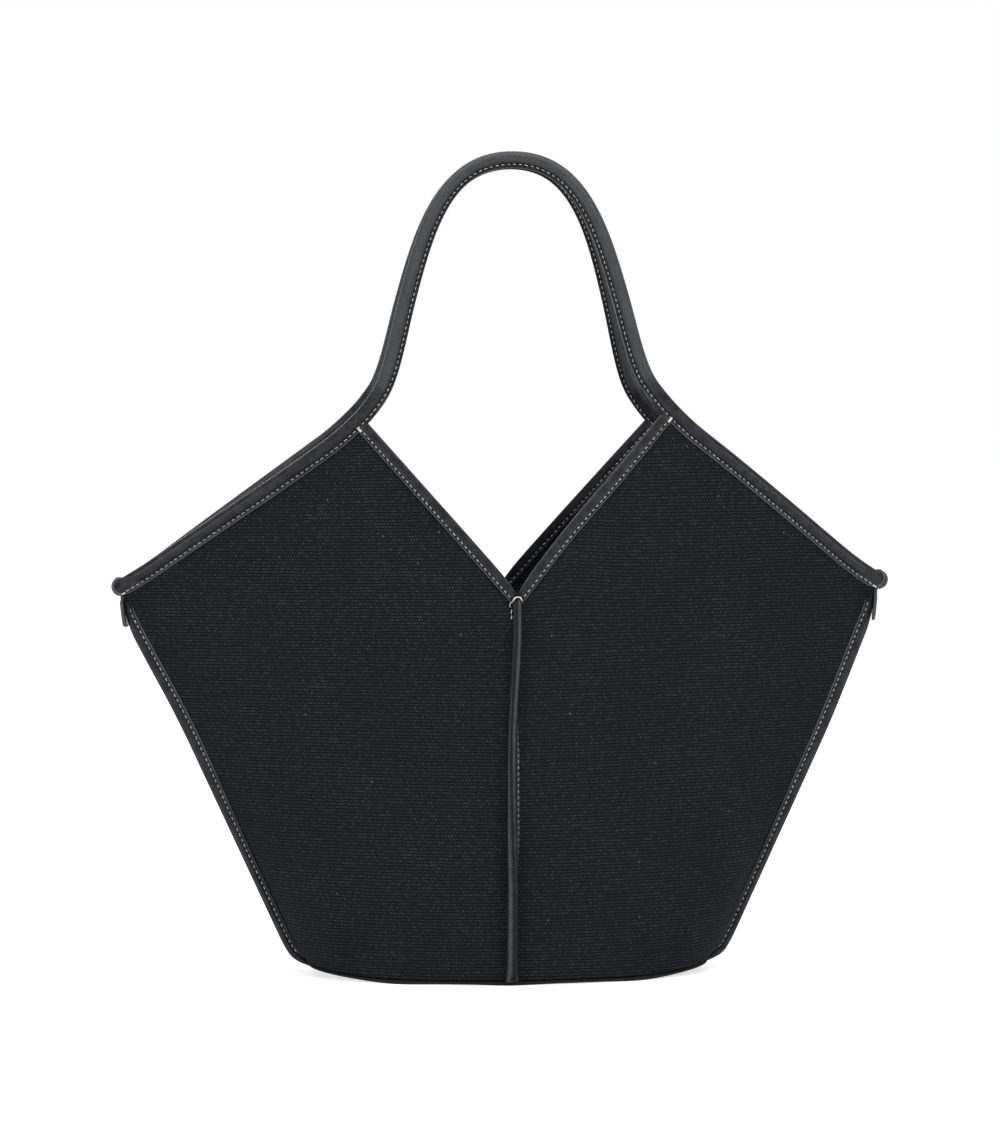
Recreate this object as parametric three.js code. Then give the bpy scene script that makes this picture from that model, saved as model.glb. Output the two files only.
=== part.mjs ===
// A soft market tote of four sewn canvas panels on an oval leather base, with folded leather
// bindings on every seam and two rolled leather handles that run down into the top edges.
// Millimetres, +Z up. The origin is on the floor under the middle of the base, the front is -Y.

import * as THREE from "three";

// Materials as sheets
const CANVAS = 0.9; // thickness of the woven panels
const LEATHER = 0.9; // thickness of bindings and covers
const FIT = 0.3; // clearance between sewn layers
const SPLIT = 0.3; // clearance across the fold where a handle leaves the bag
const EDGE_EASE = 0.1; // cut edges stop this much shorter still

// Oval base
const BASE_HALF_LENGTH = 116;
const BASE_HALF_DEPTH = 57;
const BASE_THICKNESS = 2.4;
const BASE_EDGE_ROUND = 0.7;
const BASE_FLAT_HALF_LENGTH = 64; // the base rests on this middle stretch
const BASE_END_LIFT = 4; // its ends curl up this far
const BASE_TURN_IN = 8; // canvas turned in over the base
const BASE_POINT = 1.5; // half width of the very ends of the base, in edge rounds
const BOARD_THICKNESS = 1.6;
const BOARD_INSET = 4;

// Body
const NOTCH_HEIGHT = 224.5; // bottom of the V between the handle roots
const NOTCH_HALF_DEPTH = 66;
const BELLY = 5; // how far the middle of the front bows out
const ROUND_HEIGHT = 150; // the oval plan turns into a boat shape over this height
const RIM_POWER = 1.29; // plan of the boat shape, 1 is straight sided and 2 is an ellipse
const SEAM_TOE = 2.8; // the side seams curl in at the foot
const SEAM_TOE_HEIGHT = 18;
const RIM_BAND = 3.9; // first row of the canvas under its cut edge
const SEAM_STOP = 8; // the side seams end this far under the canvas edge

// Rails, the rolled top edges from the corners up to the handle roots
const TIP_HALF_WIDTH = 225;
const TIP_HEIGHT = 220.4;
const TIP_LIFT = 3;
const TIP_LIFT_LENGTH = 30;
const TIP_OVERHANG = 5.5; // rail end past the side seam
const TIP_SPLAY = 0.22; // front and back rails part at this slope from their tips
const TIP_EASE = 3; // how softly the rails leave that line for the body's plan
const TIP_FLAT = 0.45; // thickness of the pressed tip against the round rail
const CORNER_HOLD = 7.3; // the canvas follows the rail to this depth
const CORNER_REACH = 10.5; // and is back on its seam at this one
const HINGE_HALF_SPREAD = 82.5; // handle roots
const PEAK_HEIGHT = 331.4;
const PEAK_LIFT = 4.8;
const PEAK_LIFT_LENGTH = 25;
const ROLL_RADIUS = 3.7; // outside of the rolled leather
const FLANGE_DEPTH = 6.3; // from the middle of the roll to the edge of its flange

// Handle arch, in its own plane above the fold
const HANDLE_RISE = 145.6;
const SHOULDER_HALF_WIDTH = 61.8;
const SHOULDER_RISE = 63;
const SHOULDER_LEAN = 14.4; // degrees from upright
const ROOT_PULL = 16.5; // lengths of the curve handles
const LEG_PULL = 26;
const SHOULDER_PULL = 43;
const CROWN_PULL = 39.5;

// Folded bindings
const NOTCH_BINDING_WIDTH = 7;
const NOTCH_BINDING_SETBACK = 0.7; // the notch starts this far outside the fold of the handle
const SEAM_ALLOWANCE = 5.5; // canvas standing out of each seam
const SEAM_BINDING_END = 0.6;
const FIN_TRIM = 4.3; // the side fins lose this much width at their upper ends
const FIN_TRIM_LENGTH = 13;

// Corner tabs
const TAB_THICKNESS = 2.2;
const TAB_LENGTH = 19;
const TAB_WIDTH = 13;
const TAB_CORNER = 4;

// Facets
const NOTCH_COLUMNS = 5;
const BODY_ROWS = 7;
const ROLL_FACETS = 10;
const CORE_FACETS = 8;
const ROOT_STATIONS = 7;
const CROWN_STATIONS = 9;
const RAIL_STATIONS = 9;
const BASE_STATIONS = 26;
const TAB_STATIONS = 10;
const FOLD_FACETS = 4;
const ROOT_SPACING = 10; // first rail station from the fold of the handle
const STATION_GROWTH = 1.3; // rail stations lie closer together near the handle
const TIP_ROUND_STEPS = [0.55, 0.2, 0.02]; // rings of the round rail end, in radii left to its tip
const HALVINGS = 50; // steps of a root search

// Worked out sizes
const BORE_RADIUS = ROLL_RADIUS - LEATHER;
const CORE_RADIUS = BORE_RADIUS - FIT;
const RAIL_CANVAS_EDGE = CORE_RADIUS + FIT + EDGE_EASE; // canvas cut edge under the middle of the roll
const SLOT_HALF = CANVAS / 2 + FIT;
const LEG_HALF = SLOT_HALF + LEATHER;
const SEAM_OUT = FIT / 2 + CANVAS / 2; // middle of a canvas layer from the middle of its seam
const SEAM_SLOT_HALF = SEAM_OUT + CANVAS / 2 + FIT;
const SEAM_LEG_START = CANVAS / 2 + FIT + EDGE_EASE;
const SEAM_FOLD = SEAM_ALLOWANCE + FIT + LEATHER;
const TIP_OUT = ROLL_RADIUS + FIT / 2;
const FOOT = BASE_THICKNESS + FIT + CANVAS / 2; // middle of the turned-in canvas over the base
const BOARD_SEAT = FOOT + CANVAS / 2 + FIT;
const STEP = 0.05; // for slopes taken as differences

const { clamp, degToRad, lerp, smoothstep } = THREE.MathUtils;
const range = (count) => Array.from({ length: count }, (_, i) => i);
const v2 = (x, y) => new THREE.Vector2(x, y);
const v3 = (x, y, z) => new THREE.Vector3(x, y, z);

// Root of a rising or falling function between two values
function solve(f, low, high) {
  const rising = f(high) > f(low);
  for (const _ of range(HALVINGS)) {
    const middle = (low + high) / 2;
    if (f(middle) > 0 === rising) high = middle;
    else low = middle;
  }
  return (low + high) / 2;
}

// Middle line of a rail seen from the front, as height over distance from the middle
const railSlope = (PEAK_HEIGHT - PEAK_LIFT - TIP_HEIGHT) / (TIP_HALF_WIDTH - HINGE_HALF_SPREAD);

function railHeight(x) {
  const fromPeak = Math.max(0, 1 - (x - HINGE_HALF_SPREAD) / PEAK_LIFT_LENGTH);
  const fromTip = Math.max(0, 1 - (TIP_HALF_WIDTH - x) / TIP_LIFT_LENGTH);
  const straight = PEAK_HEIGHT - PEAK_LIFT - railSlope * (x - HINGE_HALF_SPREAD);
  return straight + PEAK_LIFT * fromPeak ** 2 + TIP_LIFT * fromTip ** 2;
}

const railAngle = (x) => Math.atan((railHeight(x - STEP) - railHeight(x + STEP)) / (2 * STEP));

// A point on the wall at a depth under the rail's middle line
function underRail(x, depth) {
  const angle = railAngle(x);
  return v2(x - depth * Math.sin(angle), railHeight(x) - depth * Math.cos(angle));
}

// Side seam
const baseLift = (x) =>
  BASE_END_LIFT *
  Math.max(0, (Math.abs(x) - BASE_FLAT_HALF_LENGTH) / (BASE_HALF_LENGTH - BASE_FLAT_HALF_LENGTH)) ** 2;

const seamFoot = BASE_END_LIFT + FOOT;
const seamTopX = TIP_HALF_WIDTH - TIP_OVERHANG;
const seamSlope = (seamTopX - BASE_HALF_LENGTH - SEAM_TOE) / (railHeight(seamTopX) - seamFoot);

function seamX(z) {
  const toe = SEAM_TOE * Math.max(0, 1 - (z - seamFoot) / SEAM_TOE_HEIGHT) ** 2;
  return BASE_HALF_LENGTH + SEAM_TOE + seamSlope * (z - seamFoot) - toe;
}

// Distance of the canvas from the middle plane: an oval at the base, a boat shape at the rim
function halfDepth(z) {
  const t = z / NOTCH_HEIGHT;
  return lerp(BASE_HALF_DEPTH, NOTCH_HALF_DEPTH, t) + BELLY * 4 * t * (1 - t);
}

function bodyOut(x, z) {
  const boat = smoothstep(z, 0, ROUND_HEIGHT);
  const rest = 1 - (Math.abs(x) / seamX(z)) ** lerp(2, RIM_POWER, boat);
  return SEAM_OUT + halfDepth(z) * Math.sign(rest) * Math.abs(rest) ** (1 / lerp(2, 1, boat));
}

// The rails stay side by side where the seam draws the canvas together, so they pull it apart there
function railOut(x) {
  const along = bodyOut(x, railHeight(x));
  const beside = TIP_OUT + TIP_SPLAY * (TIP_HALF_WIDTH - x);
  return (along + beside + Math.hypot(along - beside, TIP_EASE)) / 2;
}

function wallOut(x, z) {
  const depth = (railHeight(x) - z) * Math.cos(railAngle(x));
  const pull = 1 - smoothstep(depth, CORNER_HOLD, CORNER_REACH);
  return bodyOut(x, z) + pull * (railOut(x) - bodyOut(x, railHeight(x)));
}

// A point off the front wall, along its normal
function offWall(at, along) {
  const out = wallOut(at.x, at.y);
  const slopeX = (wallOut(at.x + STEP, at.y) - wallOut(at.x - STEP, at.y)) / (2 * STEP);
  const slopeZ = (wallOut(at.x, at.y + STEP) - wallOut(at.x, at.y - STEP)) / (2 * STEP);
  const normal = v3(-slopeX, -1, -slopeZ).normalize();
  return v3(at.x, -out, at.y).addScaledVector(normal, along);
}

// Stations along the rail, closer where it bends up
const tipRadius = (FLANGE_DEPTH + ROLL_RADIUS) / 2;
const railStart = HINGE_HALF_SPREAD + ROOT_SPACING;
const railStations = range(RAIL_STATIONS).map((i) =>
  lerp(railStart, TIP_HALF_WIDTH - tipRadius, (i / (RAIL_STATIONS - 1)) ** STATION_GROWTH),
);

// Notch edge: straight from the middle up to the flange of the rail
const notchTopX = HINGE_HALF_SPREAD + NOTCH_BINDING_SETBACK;
const notchTop = underRail(
  solve((x) => underRail(x, FLANGE_DEPTH).x - notchTopX, HINGE_HALF_SPREAD, TIP_HALF_WIDTH),
  FLANGE_DEPTH,
);
const notchSlope = (notchTop.y - NOTCH_HEIGHT) / notchTop.x;
const notchStretch = Math.hypot(1, notchSlope);
const notchHeight = (x, depth) => NOTCH_HEIGHT + notchSlope * x - depth * notchStretch;

// Where a line at a depth under the notch edge meets a line at a depth under the rail
function notchMeetsRail(notchDepth, railDepth) {
  const gap = (x) => {
    const at = underRail(x, railDepth);
    return at.y - notchHeight(at.x, notchDepth);
  };
  return solve(gap, HINGE_HALF_SPREAD, TIP_HALF_WIDTH);
}

// Solids, with every face turned outwards

function solidFrom(points, triangles) {
  let volume = 0;
  for (let i = 0; i < triangles.length; i += 3) {
    const [a, b, c] = triangles.slice(i, i + 3).map((corner) => points[corner]);
    volume += a.dot(b.clone().cross(c));
  }
  if (volume < 0) triangles.reverse();
  const geometry = new THREE.BufferGeometry();
  geometry.setFromPoints(points);
  geometry.setIndex(triangles);
  geometry.computeVertexNormals();
  return geometry;
}

// A closed solid through rings of equal count, whose outline and holes are triangulated at both ends
function loft(rings, outline, hole = []) {
  const count = outline.length + hole.length;
  const triangles = [];
  const turn = THREE.ShapeUtils.isClockWise(outline) ? -1 : 1;
  const face = (a, b, c) => triangles.push(...(turn > 0 ? [a, b, c] : [a, c, b]));
  const loops = [
    [0, outline.length],
    [outline.length, hole.length],
  ];
  for (const ring of range(rings.length - 1))
    for (const [first, length] of loops)
      for (const i of range(length)) {
        const a = ring * count + first + i;
        const b = ring * count + first + ((i + 1) % length);
        face(a, b, b + count);
        face(a, b + count, a + count);
      }
  const last = (rings.length - 1) * count;
  for (const [a, b, c] of THREE.ShapeUtils.triangulateShape(outline, hole.length ? [hole] : []))
    triangles.push(a, c, b, a + last, b + last, c + last);
  return solidFrom(rings.flat(), triangles);
}

// A sheet of even thickness round a net of quads, mitred where the net folds
function thicken(points, quads, thickness) {
  const normals = points.map(() => []);
  for (const quad of quads) {
    const across = points[quad[2]].clone().sub(points[quad[0]]);
    const normal = across.cross(points[quad[3]].clone().sub(points[quad[1]])).normalize();
    quad.forEach((i) => normals[i].push(normal));
  }
  const offsets = normals.map((around) => {
    const mean = around.reduce((sum, n) => sum.add(n), v3(0, 0, 0)).normalize();
    const share = around.reduce((sum, n) => sum + n.dot(mean), 0) / around.length;
    return mean.multiplyScalar(thickness / 2 / share);
  });
  const outer = points.map((p, i) => p.clone().add(offsets[i]));
  const inner = points.map((p, i) => p.clone().sub(offsets[i]));
  const count = points.length;
  const triangles = [];
  const edges = new Map();
  for (const [a, b, c, d] of quads) {
    triangles.push(a, b, c, a, c, d, count + a, count + c, count + b, count + a, count + d, count + c);
    for (const [from, to] of [[a, b], [b, c], [c, d], [d, a]]) {
      if (!edges.delete(`${to} ${from}`)) edges.set(`${from} ${to}`, [from, to]);
    }
  }
  for (const [from, to] of edges.values())
    triangles.push(from, count + from, count + to, from, count + to, to);
  return solidFrom([...outer, ...inner], triangles);
}

// Sections, as (depth, side): depth runs from the fold or roll towards the cut edges

const arc = (radius, from, to, facets) =>
  range(facets + 1).map((i) => {
    const angle = lerp(from, to, i / facets);
    return v2(-radius * Math.cos(angle), radius * Math.sin(angle));
  });

// A strip folded over an edge
function foldSection(width, slotHalf) {
  const half = slotHalf + LEATHER;
  const bend = arc(half, -Math.PI / 2, Math.PI / 2, FOLD_FACETS);
  return [
    v2(width, -half),
    ...bend.map((p) => v2(LEATHER + (p.x * LEATHER) / half, p.y)),
    v2(width, half),
    v2(width, slotHalf),
    v2(LEATHER, slotHalf),
    v2(LEATHER, -slotHalf),
    v2(width, -slotHalf),
  ];
}

// A strip rolled round a cord, with its two legs astride the canvas
function railSection() {
  const outside = Math.PI - Math.asin(LEG_HALF / ROLL_RADIUS);
  const inside = Math.PI - Math.asin(SLOT_HALF / BORE_RADIUS);
  return [
    v2(FLANGE_DEPTH, -LEG_HALF),
    ...arc(ROLL_RADIUS, -outside, outside, ROLL_FACETS),
    v2(FLANGE_DEPTH, LEG_HALF),
    v2(FLANGE_DEPTH, SLOT_HALF),
    ...arc(BORE_RADIUS, inside, -inside, CORE_FACETS),
    v2(FLANGE_DEPTH, -SLOT_HALF),
  ];
}

// The same strip with its legs sewn together
function archSection() {
  const outside = Math.PI - Math.asin(LEATHER / ROLL_RADIUS);
  const roll = arc(ROLL_RADIUS, -outside, outside, ROLL_FACETS);
  return [v2(FLANGE_DEPTH, -LEATHER), ...roll, v2(FLANGE_DEPTH, LEATHER)];
}

const roundSection = (radius) => arc(radius, Math.PI, -Math.PI, CORE_FACETS).slice(1);

// Canvas panel: a net of columns from the base up to its rim, with its seam allowances turned out
// and its foot turned in

const panelCorner = notchMeetsRail(LEATHER + FIT, RAIL_CANVAS_EDGE);
const panelTip = solve((x) => {
  const at = underRail(x, RAIL_CANVAS_EDGE);
  return at.x - seamX(at.y);
}, panelCorner, TIP_HALF_WIDTH);
const rimStations = [panelCorner, ...railStations.slice(0, -1), panelTip];
const railRim = rimStations.map((x) => underRail(x, RAIL_CANVAS_EDGE));
const notchRim = range(NOTCH_COLUMNS).map((i) => {
  const x = lerp(SEAM_OUT, railRim[0].x, i / NOTCH_COLUMNS);
  return v2(x, notchHeight(x, LEATHER + FIT));
});

function columnPoints(rim, column) {
  const turn = ((rim.x / railRim.at(-1).x) * Math.PI) / 2;
  const footX = column === 0 ? SEAM_OUT : BASE_HALF_LENGTH * Math.sin(turn);
  const footZ = FOOT + baseLift(footX);
  const trimZ = rim.y - SEAM_STOP - FIN_TRIM_LENGTH;
  const heights = range(BODY_ROWS).map((row) => lerp(footZ, trimZ, row / BODY_ROWS));
  heights.push(trimZ, rim.y - SEAM_STOP, rim.y - RIM_BAND, rim.y);
  return heights.map((z) => {
    const t = (z - footZ) / (rim.y - footZ);
    const share = lerp(footX / seamX(footZ), rim.x / seamX(rim.y), t);
    const x = column === 0 ? SEAM_OUT : share * seamX(z);
    return v3(x, -wallOut(x, z), z);
  });
}

const columns = [...notchRim, ...railRim].map(columnPoints);

// Stations of a seam: its line, the way its allowances stand out and how wide they are
function seamStations(line, squareTo, lastWidth) {
  const last = line.length - 1;
  return line.map((at, row) => {
    const run = line[Math.min(row + 1, last)].clone().sub(line[Math.max(row - 1, 0)]).normalize();
    return { at, run, out: squareTo(run), width: row === last ? lastWidth : SEAM_ALLOWANCE };
  });
}

const middleSeam = seamStations(
  columns[0].map((p) => v3(0, p.y, p.z)),
  (run) => v3(0, -run.z, run.y),
  SEAM_ALLOWANCE,
);
const sideSeam = seamStations(
  columns.at(-1).slice(0, BODY_ROWS + 2).map((p) => v3(p.x, 0, p.z)),
  (run) => v3(run.z, 0, -run.x),
  SEAM_ALLOWANCE - FIN_TRIM,
);

function panelSolid() {
  const points = [];
  const quads = [];
  const keep = (line) => line.map((p) => points.push(p) - 1);
  const strip = (left, right) => {
    for (const row of range(Math.min(left.length, right.length) - 1))
      quads.push([left[row], right[row], right[row + 1], left[row + 1]]);
  };
  const sheet = columns.map(keep);
  for (const column of range(sheet.length - 1)) strip(sheet[column], sheet[column + 1]);
  const fin = (column, seam) =>
    seam.map(({ out, width }, row) => column[row].clone().addScaledVector(out, width));
  const middleFin = fin(columns[0], middleSeam);
  const sideFin = fin(columns.at(-1), sideSeam);
  strip(keep(middleFin), sheet[0]);
  strip(sheet.at(-1), keep(sideFin));
  const turnedIn = keep(columns.map(([foot]) => {
    const x = foot.x * (1 - BASE_TURN_IN / BASE_HALF_LENGTH);
    return v3(x, foot.y * (1 - BASE_TURN_IN / BASE_HALF_DEPTH), FOOT + baseLift(x));
  }));
  for (const column of range(sheet.length - 1))
    quads.push([turnedIn[column], turnedIn[column + 1], sheet[column + 1][0], sheet[column][0]]);
  return thicken(points, quads, CANVAS);
}

// Binding folded over the allowances of a seam
function seamBindingSolid(seam, side) {
  const depth = SEAM_FOLD - SEAM_LEG_START;
  const section = foldSection(depth, SEAM_SLOT_HALF);
  const rings = seam.map(({ at, run, out, width }, row) => {
    const narrowing = 1 - (SEAM_ALLOWANCE - width) / depth;
    const past = row === seam.length - 1 ? SEAM_BINDING_END : 0;
    const start = at.clone().addScaledVector(run, past).addScaledVector(out, SEAM_LEG_START);
    return section.map((p) =>
      start.clone().addScaledVector(out, (depth - p.x) * narrowing).addScaledVector(side, p.y),
    );
  });
  return loft(rings, section);
}

// Binding folded over the canvas edge of the notch, cut to the rail above and to the seam below
function notchBindingSolid() {
  const section = foldSection(NOTCH_BINDING_WIDTH, SLOT_HALF);
  const seamSide = SEAM_SLOT_HALF + LEATHER + FIT;
  const upper = (depth) => underRail(notchMeetsRail(depth, FLANGE_DEPTH + FIT), FLANGE_DEPTH + FIT).x;
  const rings = range(NOTCH_COLUMNS + 1).map((i) =>
    section.map((p) => {
      const x = lerp(seamSide, upper(p.x), i / NOTCH_COLUMNS);
      return offWall(v2(x, notchHeight(x, p.x)), p.y);
    }),
  );
  return loft(rings, section);
}

// Rail rings: cut square to the fold of the handle, then along the rail
function railRings(section, stations) {
  const plane = HINGE_HALF_SPREAD + SPLIT / 2;
  const searchReach = 2 * FLANGE_DEPTH;
  const root = section.map((p) => {
    const missing = (x) => offWall(underRail(x, p.x), p.y).x - plane;
    const x = solve(missing, plane - searchReach, plane + searchReach);
    return offWall(underRail(x, p.x), p.y);
  });
  return [root, ...stations.map((x) => section.map((p) => offWall(underRail(x, p.x), p.y)))];
}

// The end of the rail is pressed flat and cut round
function railCoverSolid() {
  const section = railSection();
  const middle = (FLANGE_DEPTH - ROLL_RADIUS) / 2;
  const tip = TIP_ROUND_STEPS.map((left) => {
    const share = Math.sqrt(1 - (1 - left) ** 2);
    const x = TIP_HALF_WIDTH - left * tipRadius;
    return section.map((p) =>
      offWall(underRail(x, middle + (p.x - middle) * share), p.y * lerp(TIP_FLAT, 1, share)),
    );
  });
  return loft([...railRings(section, railStations), ...tip], section);
}

function railCoreSolid() {
  const section = roundSection(CORE_RADIUS);
  return loft(railRings(section, railStations.slice(0, -1)), section);
}

// Handle arch: two curves on each side, from the fold over the shoulder to the crown
const rootAngle = railAngle(HINGE_HALF_SPREAD);
const shoulder = v2(SHOULDER_HALF_WIDTH, SHOULDER_RISE);
const shoulderRun = v2(-Math.sin(degToRad(SHOULDER_LEAN)), Math.cos(degToRad(SHOULDER_LEAN)));
const rootRun = v2(-Math.cos(rootAngle), Math.sin(rootAngle));
const rootCurve = new THREE.CubicBezierCurve(
  v2(HINGE_HALF_SPREAD, 0),
  v2(HINGE_HALF_SPREAD, 0).addScaledVector(rootRun, ROOT_PULL),
  shoulder.clone().addScaledVector(shoulderRun, -LEG_PULL),
  shoulder,
);
const crownCurve = new THREE.CubicBezierCurve(
  shoulder,
  shoulder.clone().addScaledVector(shoulderRun, SHOULDER_PULL),
  v2(CROWN_PULL, HANDLE_RISE),
  v2(0, HANDLE_RISE),
);

function archStations() {
  const sample = (curve, count) =>
    range(count).map((i) => ({
      at: curve.getPoint((i + 1) / count),
      run: curve.getTangent((i + 1) / count),
    }));
  const half = [...sample(rootCurve, ROOT_STATIONS), ...sample(crownCurve, CROWN_STATIONS)];
  const other = half.slice(0, -1).reverse();
  return [...half, ...other.map(({ at, run }) => ({ at: v2(-at.x, at.y), run: v2(run.x, -run.y) }))];
}

// Rings in the plane of the handle: x across, z up the handle, -y to the front
function archRings(section) {
  const place = (at, run, p) => v3(at.x - run.y * p.x, -p.y, at.y + run.x * p.x);
  const plane = HINGE_HALF_SPREAD - SPLIT / 2;
  const root = section.map((p) => {
    const start = place(v2(HINGE_HALF_SPREAD, 0), rootRun, p);
    const ahead = (plane - start.x) / rootRun.x;
    return start.add(v3(rootRun.x * ahead, 0, rootRun.y * ahead));
  });
  const body = archStations().map(({ at, run }) => section.map((p) => place(at, run, p)));
  return [root, ...body, root.map((p) => v3(-p.x, p.y, p.z))];
}

function archCoverSolid() {
  const outline = archSection();
  const bore = roundSection(BORE_RADIUS);
  return loft(archRings([...outline, ...bore]), outline, bore);
}

function archCoreSolid() {
  const section = roundSection(CORE_RADIUS);
  return loft(archRings(section), section);
}

// Base: sections across the bag, following the curled-up ends
function baseSolid(inset, seat, thickness) {
  const round = Math.min(BASE_EDGE_ROUND, thickness / 3);
  const reach = BASE_HALF_LENGTH - inset;
  const section = (half) => {
    const right = [
      v2(half - round, 0),
      v2(half, round),
      v2(half, thickness - round),
      v2(half - round, thickness),
    ];
    return [...right, ...right.map((p) => v2(-p.x, thickness - p.y))];
  };
  const rings = range(BASE_STATIONS + 1).map((i) => {
    const x = reach * Math.sin(lerp(-Math.PI / 2, Math.PI / 2, i / BASE_STATIONS));
    const edge = (x * BASE_HALF_LENGTH) / reach;
    const half = wallOut(edge, FOOT + baseLift(edge)) + CANVAS / 2 - inset;
    return section(Math.max(half, BASE_POINT * round)).map((p) => v3(x, p.x, seat + baseLift(x) + p.y));
  });
  return loft(rings, section(1));
}

// Corner tab: a doubled leather strip hanging under the rail ends, round at the lower corners
const tabRound = TAB_THICKNESS / 2;
const tabHang = underRail(
  solve((x) => underRail(x, FLANGE_DEPTH).x - seamTopX, HINGE_HALF_SPREAD, TIP_HALF_WIDTH * 2),
  FLANGE_DEPTH + FIT + tabRound,
);

function tabSolid() {
  const bend = arc(tabRound, -Math.PI / 2, Math.PI / 2, FOLD_FACETS).map((p) => v2(p.y, -p.x));
  const section = (length) => [...bend, ...bend.map((p) => v2(-p.x, -length - p.y))];
  const half = TAB_WIDTH / 2;
  const rings = range(TAB_STATIONS + 1).map((i) => {
    const y = -half * Math.cos((Math.PI * i) / TAB_STATIONS);
    const intoCorner = clamp((Math.abs(y) - half + TAB_CORNER) / TAB_CORNER, 0, 1);
    const length = TAB_LENGTH - TAB_THICKNESS - TAB_CORNER * (1 - Math.sqrt(1 - intoCorner ** 2));
    return section(length).map((p) => v3(p.x, y, p.y));
  });
  return loft(rings, section(1));
}

// Finishes
const canvasFinish = { color: 0x1f2226, roughness: 0.85, metalness: 0 };
const leatherFinish = { color: 0x3e3d41, roughness: 0.5, metalness: 0 };
const cordFinish = { color: 0xb9ae9c, roughness: 0.95, metalness: 0 };
const boardFinish = { color: 0x2b2b2d, roughness: 0.8, metalness: 0 };

function piece(name, geometry, finish) {
  const mesh = new THREE.Mesh(geometry, new THREE.MeshStandardMaterial(finish));
  mesh.name = name;
  return mesh;
}

// Assembly

const tote = new THREE.Group();

const forms = {
  panel: [panelSolid(), canvasFinish],
  notch_binding: [notchBindingSolid(), leatherFinish],
  rail_cover: [railCoverSolid(), leatherFinish],
  rail_core: [railCoreSolid(), cordFinish],
};

function quarter(face, side) {
  const group = new THREE.Group();
  for (const [form, [geometry, finish]] of Object.entries(forms))
    group.add(piece(`${face}_${side}_${form}`, geometry, finish));
  return group;
}

function handle(face) {
  const group = new THREE.Group();
  const hingeOut = railOut(HINGE_HALF_SPREAD);
  group.position.set(0, -hingeOut, PEAK_HEIGHT);
  group.rotation.x = -Math.asin((hingeOut - TIP_OUT) / HANDLE_RISE);
  group.add(piece(`${face}_handle_cover`, archCoverSolid(), leatherFinish));
  group.add(piece(`${face}_handle_core`, archCoreSolid(), cordFinish));
  return group;
}

function half(face, right, left) {
  const group = new THREE.Group();
  const mirrored = quarter(face, left);
  mirrored.scale.x = -1;
  const binding = seamBindingSolid(middleSeam, v3(1, 0, 0));
  group.add(quarter(face, right), mirrored, handle(face));
  group.add(piece(`${face}_seam_binding`, binding, leatherFinish));
  return group;
}

function end(side) {
  const group = new THREE.Group();
  const tab = piece(`${side}_corner_tab`, tabSolid(), leatherFinish);
  tab.position.set(tabHang.x, 0, tabHang.y);
  const binding = seamBindingSolid(sideSeam, v3(0, 1, 0));
  group.add(tab, piece(`${side}_seam_binding`, binding, leatherFinish));
  return group;
}

const backHalf = half("back", "left", "right");
const leftEnd = end("left");
backHalf.rotation.z = Math.PI;
leftEnd.rotation.z = Math.PI;
tote.add(half("front", "right", "left"), backHalf, end("right"), leftEnd);
tote.add(piece("base_panel", baseSolid(0, 0, BASE_THICKNESS), leatherFinish));
tote.add(piece("base_board", baseSolid(BOARD_INSET, BOARD_SEAT, BOARD_THICKNESS), boardFinish));

export default tote;
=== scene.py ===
"""Looks of an open canvas tote: woven panels, folded bindings, rolled leather handles and a leather base.

Lengths in the classes are millimetres: +X to the right seen from the front, +Y to the back, +Z up.
The front right quarter is worked out first, and the other quarters are its mirror images.
A span is a pair of values between which an effect eases in or out.
"""

import logging
import math
from dataclasses import dataclass, field
from enum import Enum

import bmesh
import bpy
import numpy as np
from mathutils import Matrix, Vector


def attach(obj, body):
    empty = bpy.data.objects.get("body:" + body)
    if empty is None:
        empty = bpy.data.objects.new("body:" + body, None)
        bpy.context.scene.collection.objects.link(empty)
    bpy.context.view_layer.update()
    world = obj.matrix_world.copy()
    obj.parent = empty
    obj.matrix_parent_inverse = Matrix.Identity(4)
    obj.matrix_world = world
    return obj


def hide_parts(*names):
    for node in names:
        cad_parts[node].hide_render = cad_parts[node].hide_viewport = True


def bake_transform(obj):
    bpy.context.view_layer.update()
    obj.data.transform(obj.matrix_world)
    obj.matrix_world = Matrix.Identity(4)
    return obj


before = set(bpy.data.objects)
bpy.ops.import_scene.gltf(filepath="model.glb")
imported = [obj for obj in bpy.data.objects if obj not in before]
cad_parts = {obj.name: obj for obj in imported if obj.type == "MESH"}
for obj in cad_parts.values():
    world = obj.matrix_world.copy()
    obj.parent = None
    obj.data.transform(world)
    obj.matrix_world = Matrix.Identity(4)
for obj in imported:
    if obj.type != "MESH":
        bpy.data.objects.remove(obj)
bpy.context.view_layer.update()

MM = 0.001
TINY = 1e-9
RIGHT = np.array([1.0, 0.0, 0.0])
BACK = np.array([0.0, 1.0, 0.0])
UP = np.array([0.0, 0.0, 1.0])
MIRROR = np.array([-1.0, 1.0, 1.0])
Array = np.ndarray
Number = Array | float
Socket = bpy.types.NodeSocket
Node = bpy.types.Node
Tree = bpy.types.NodeTree
Material = bpy.types.Material
log = logging.getLogger("tote")


# Small sums on arrays of points

def unit(vectors: Array) -> Array:
    """Vectors of length one along the given ones."""
    return vectors / np.maximum(np.linalg.norm(vectors, axis=-1, keepdims=True), TINY)


def lerp(a: Number, b: Number, t: Number) -> Number:
    """Value at the share t of the way from a to b."""
    return a + (b - a) * t


def ease(x: Number, low: float, high: float) -> Array:
    """Ease from 0 at low to 1 at high."""
    t = np.clip((x - low) / (high - low), 0.0, 1.0)
    return t * t * (3.0 - 2.0 * t)


def fade(x: Number, low: float, high: float) -> Array:
    """Ease from 1 at low to 0 at high."""
    return 1.0 - ease(x, low, high)


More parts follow.
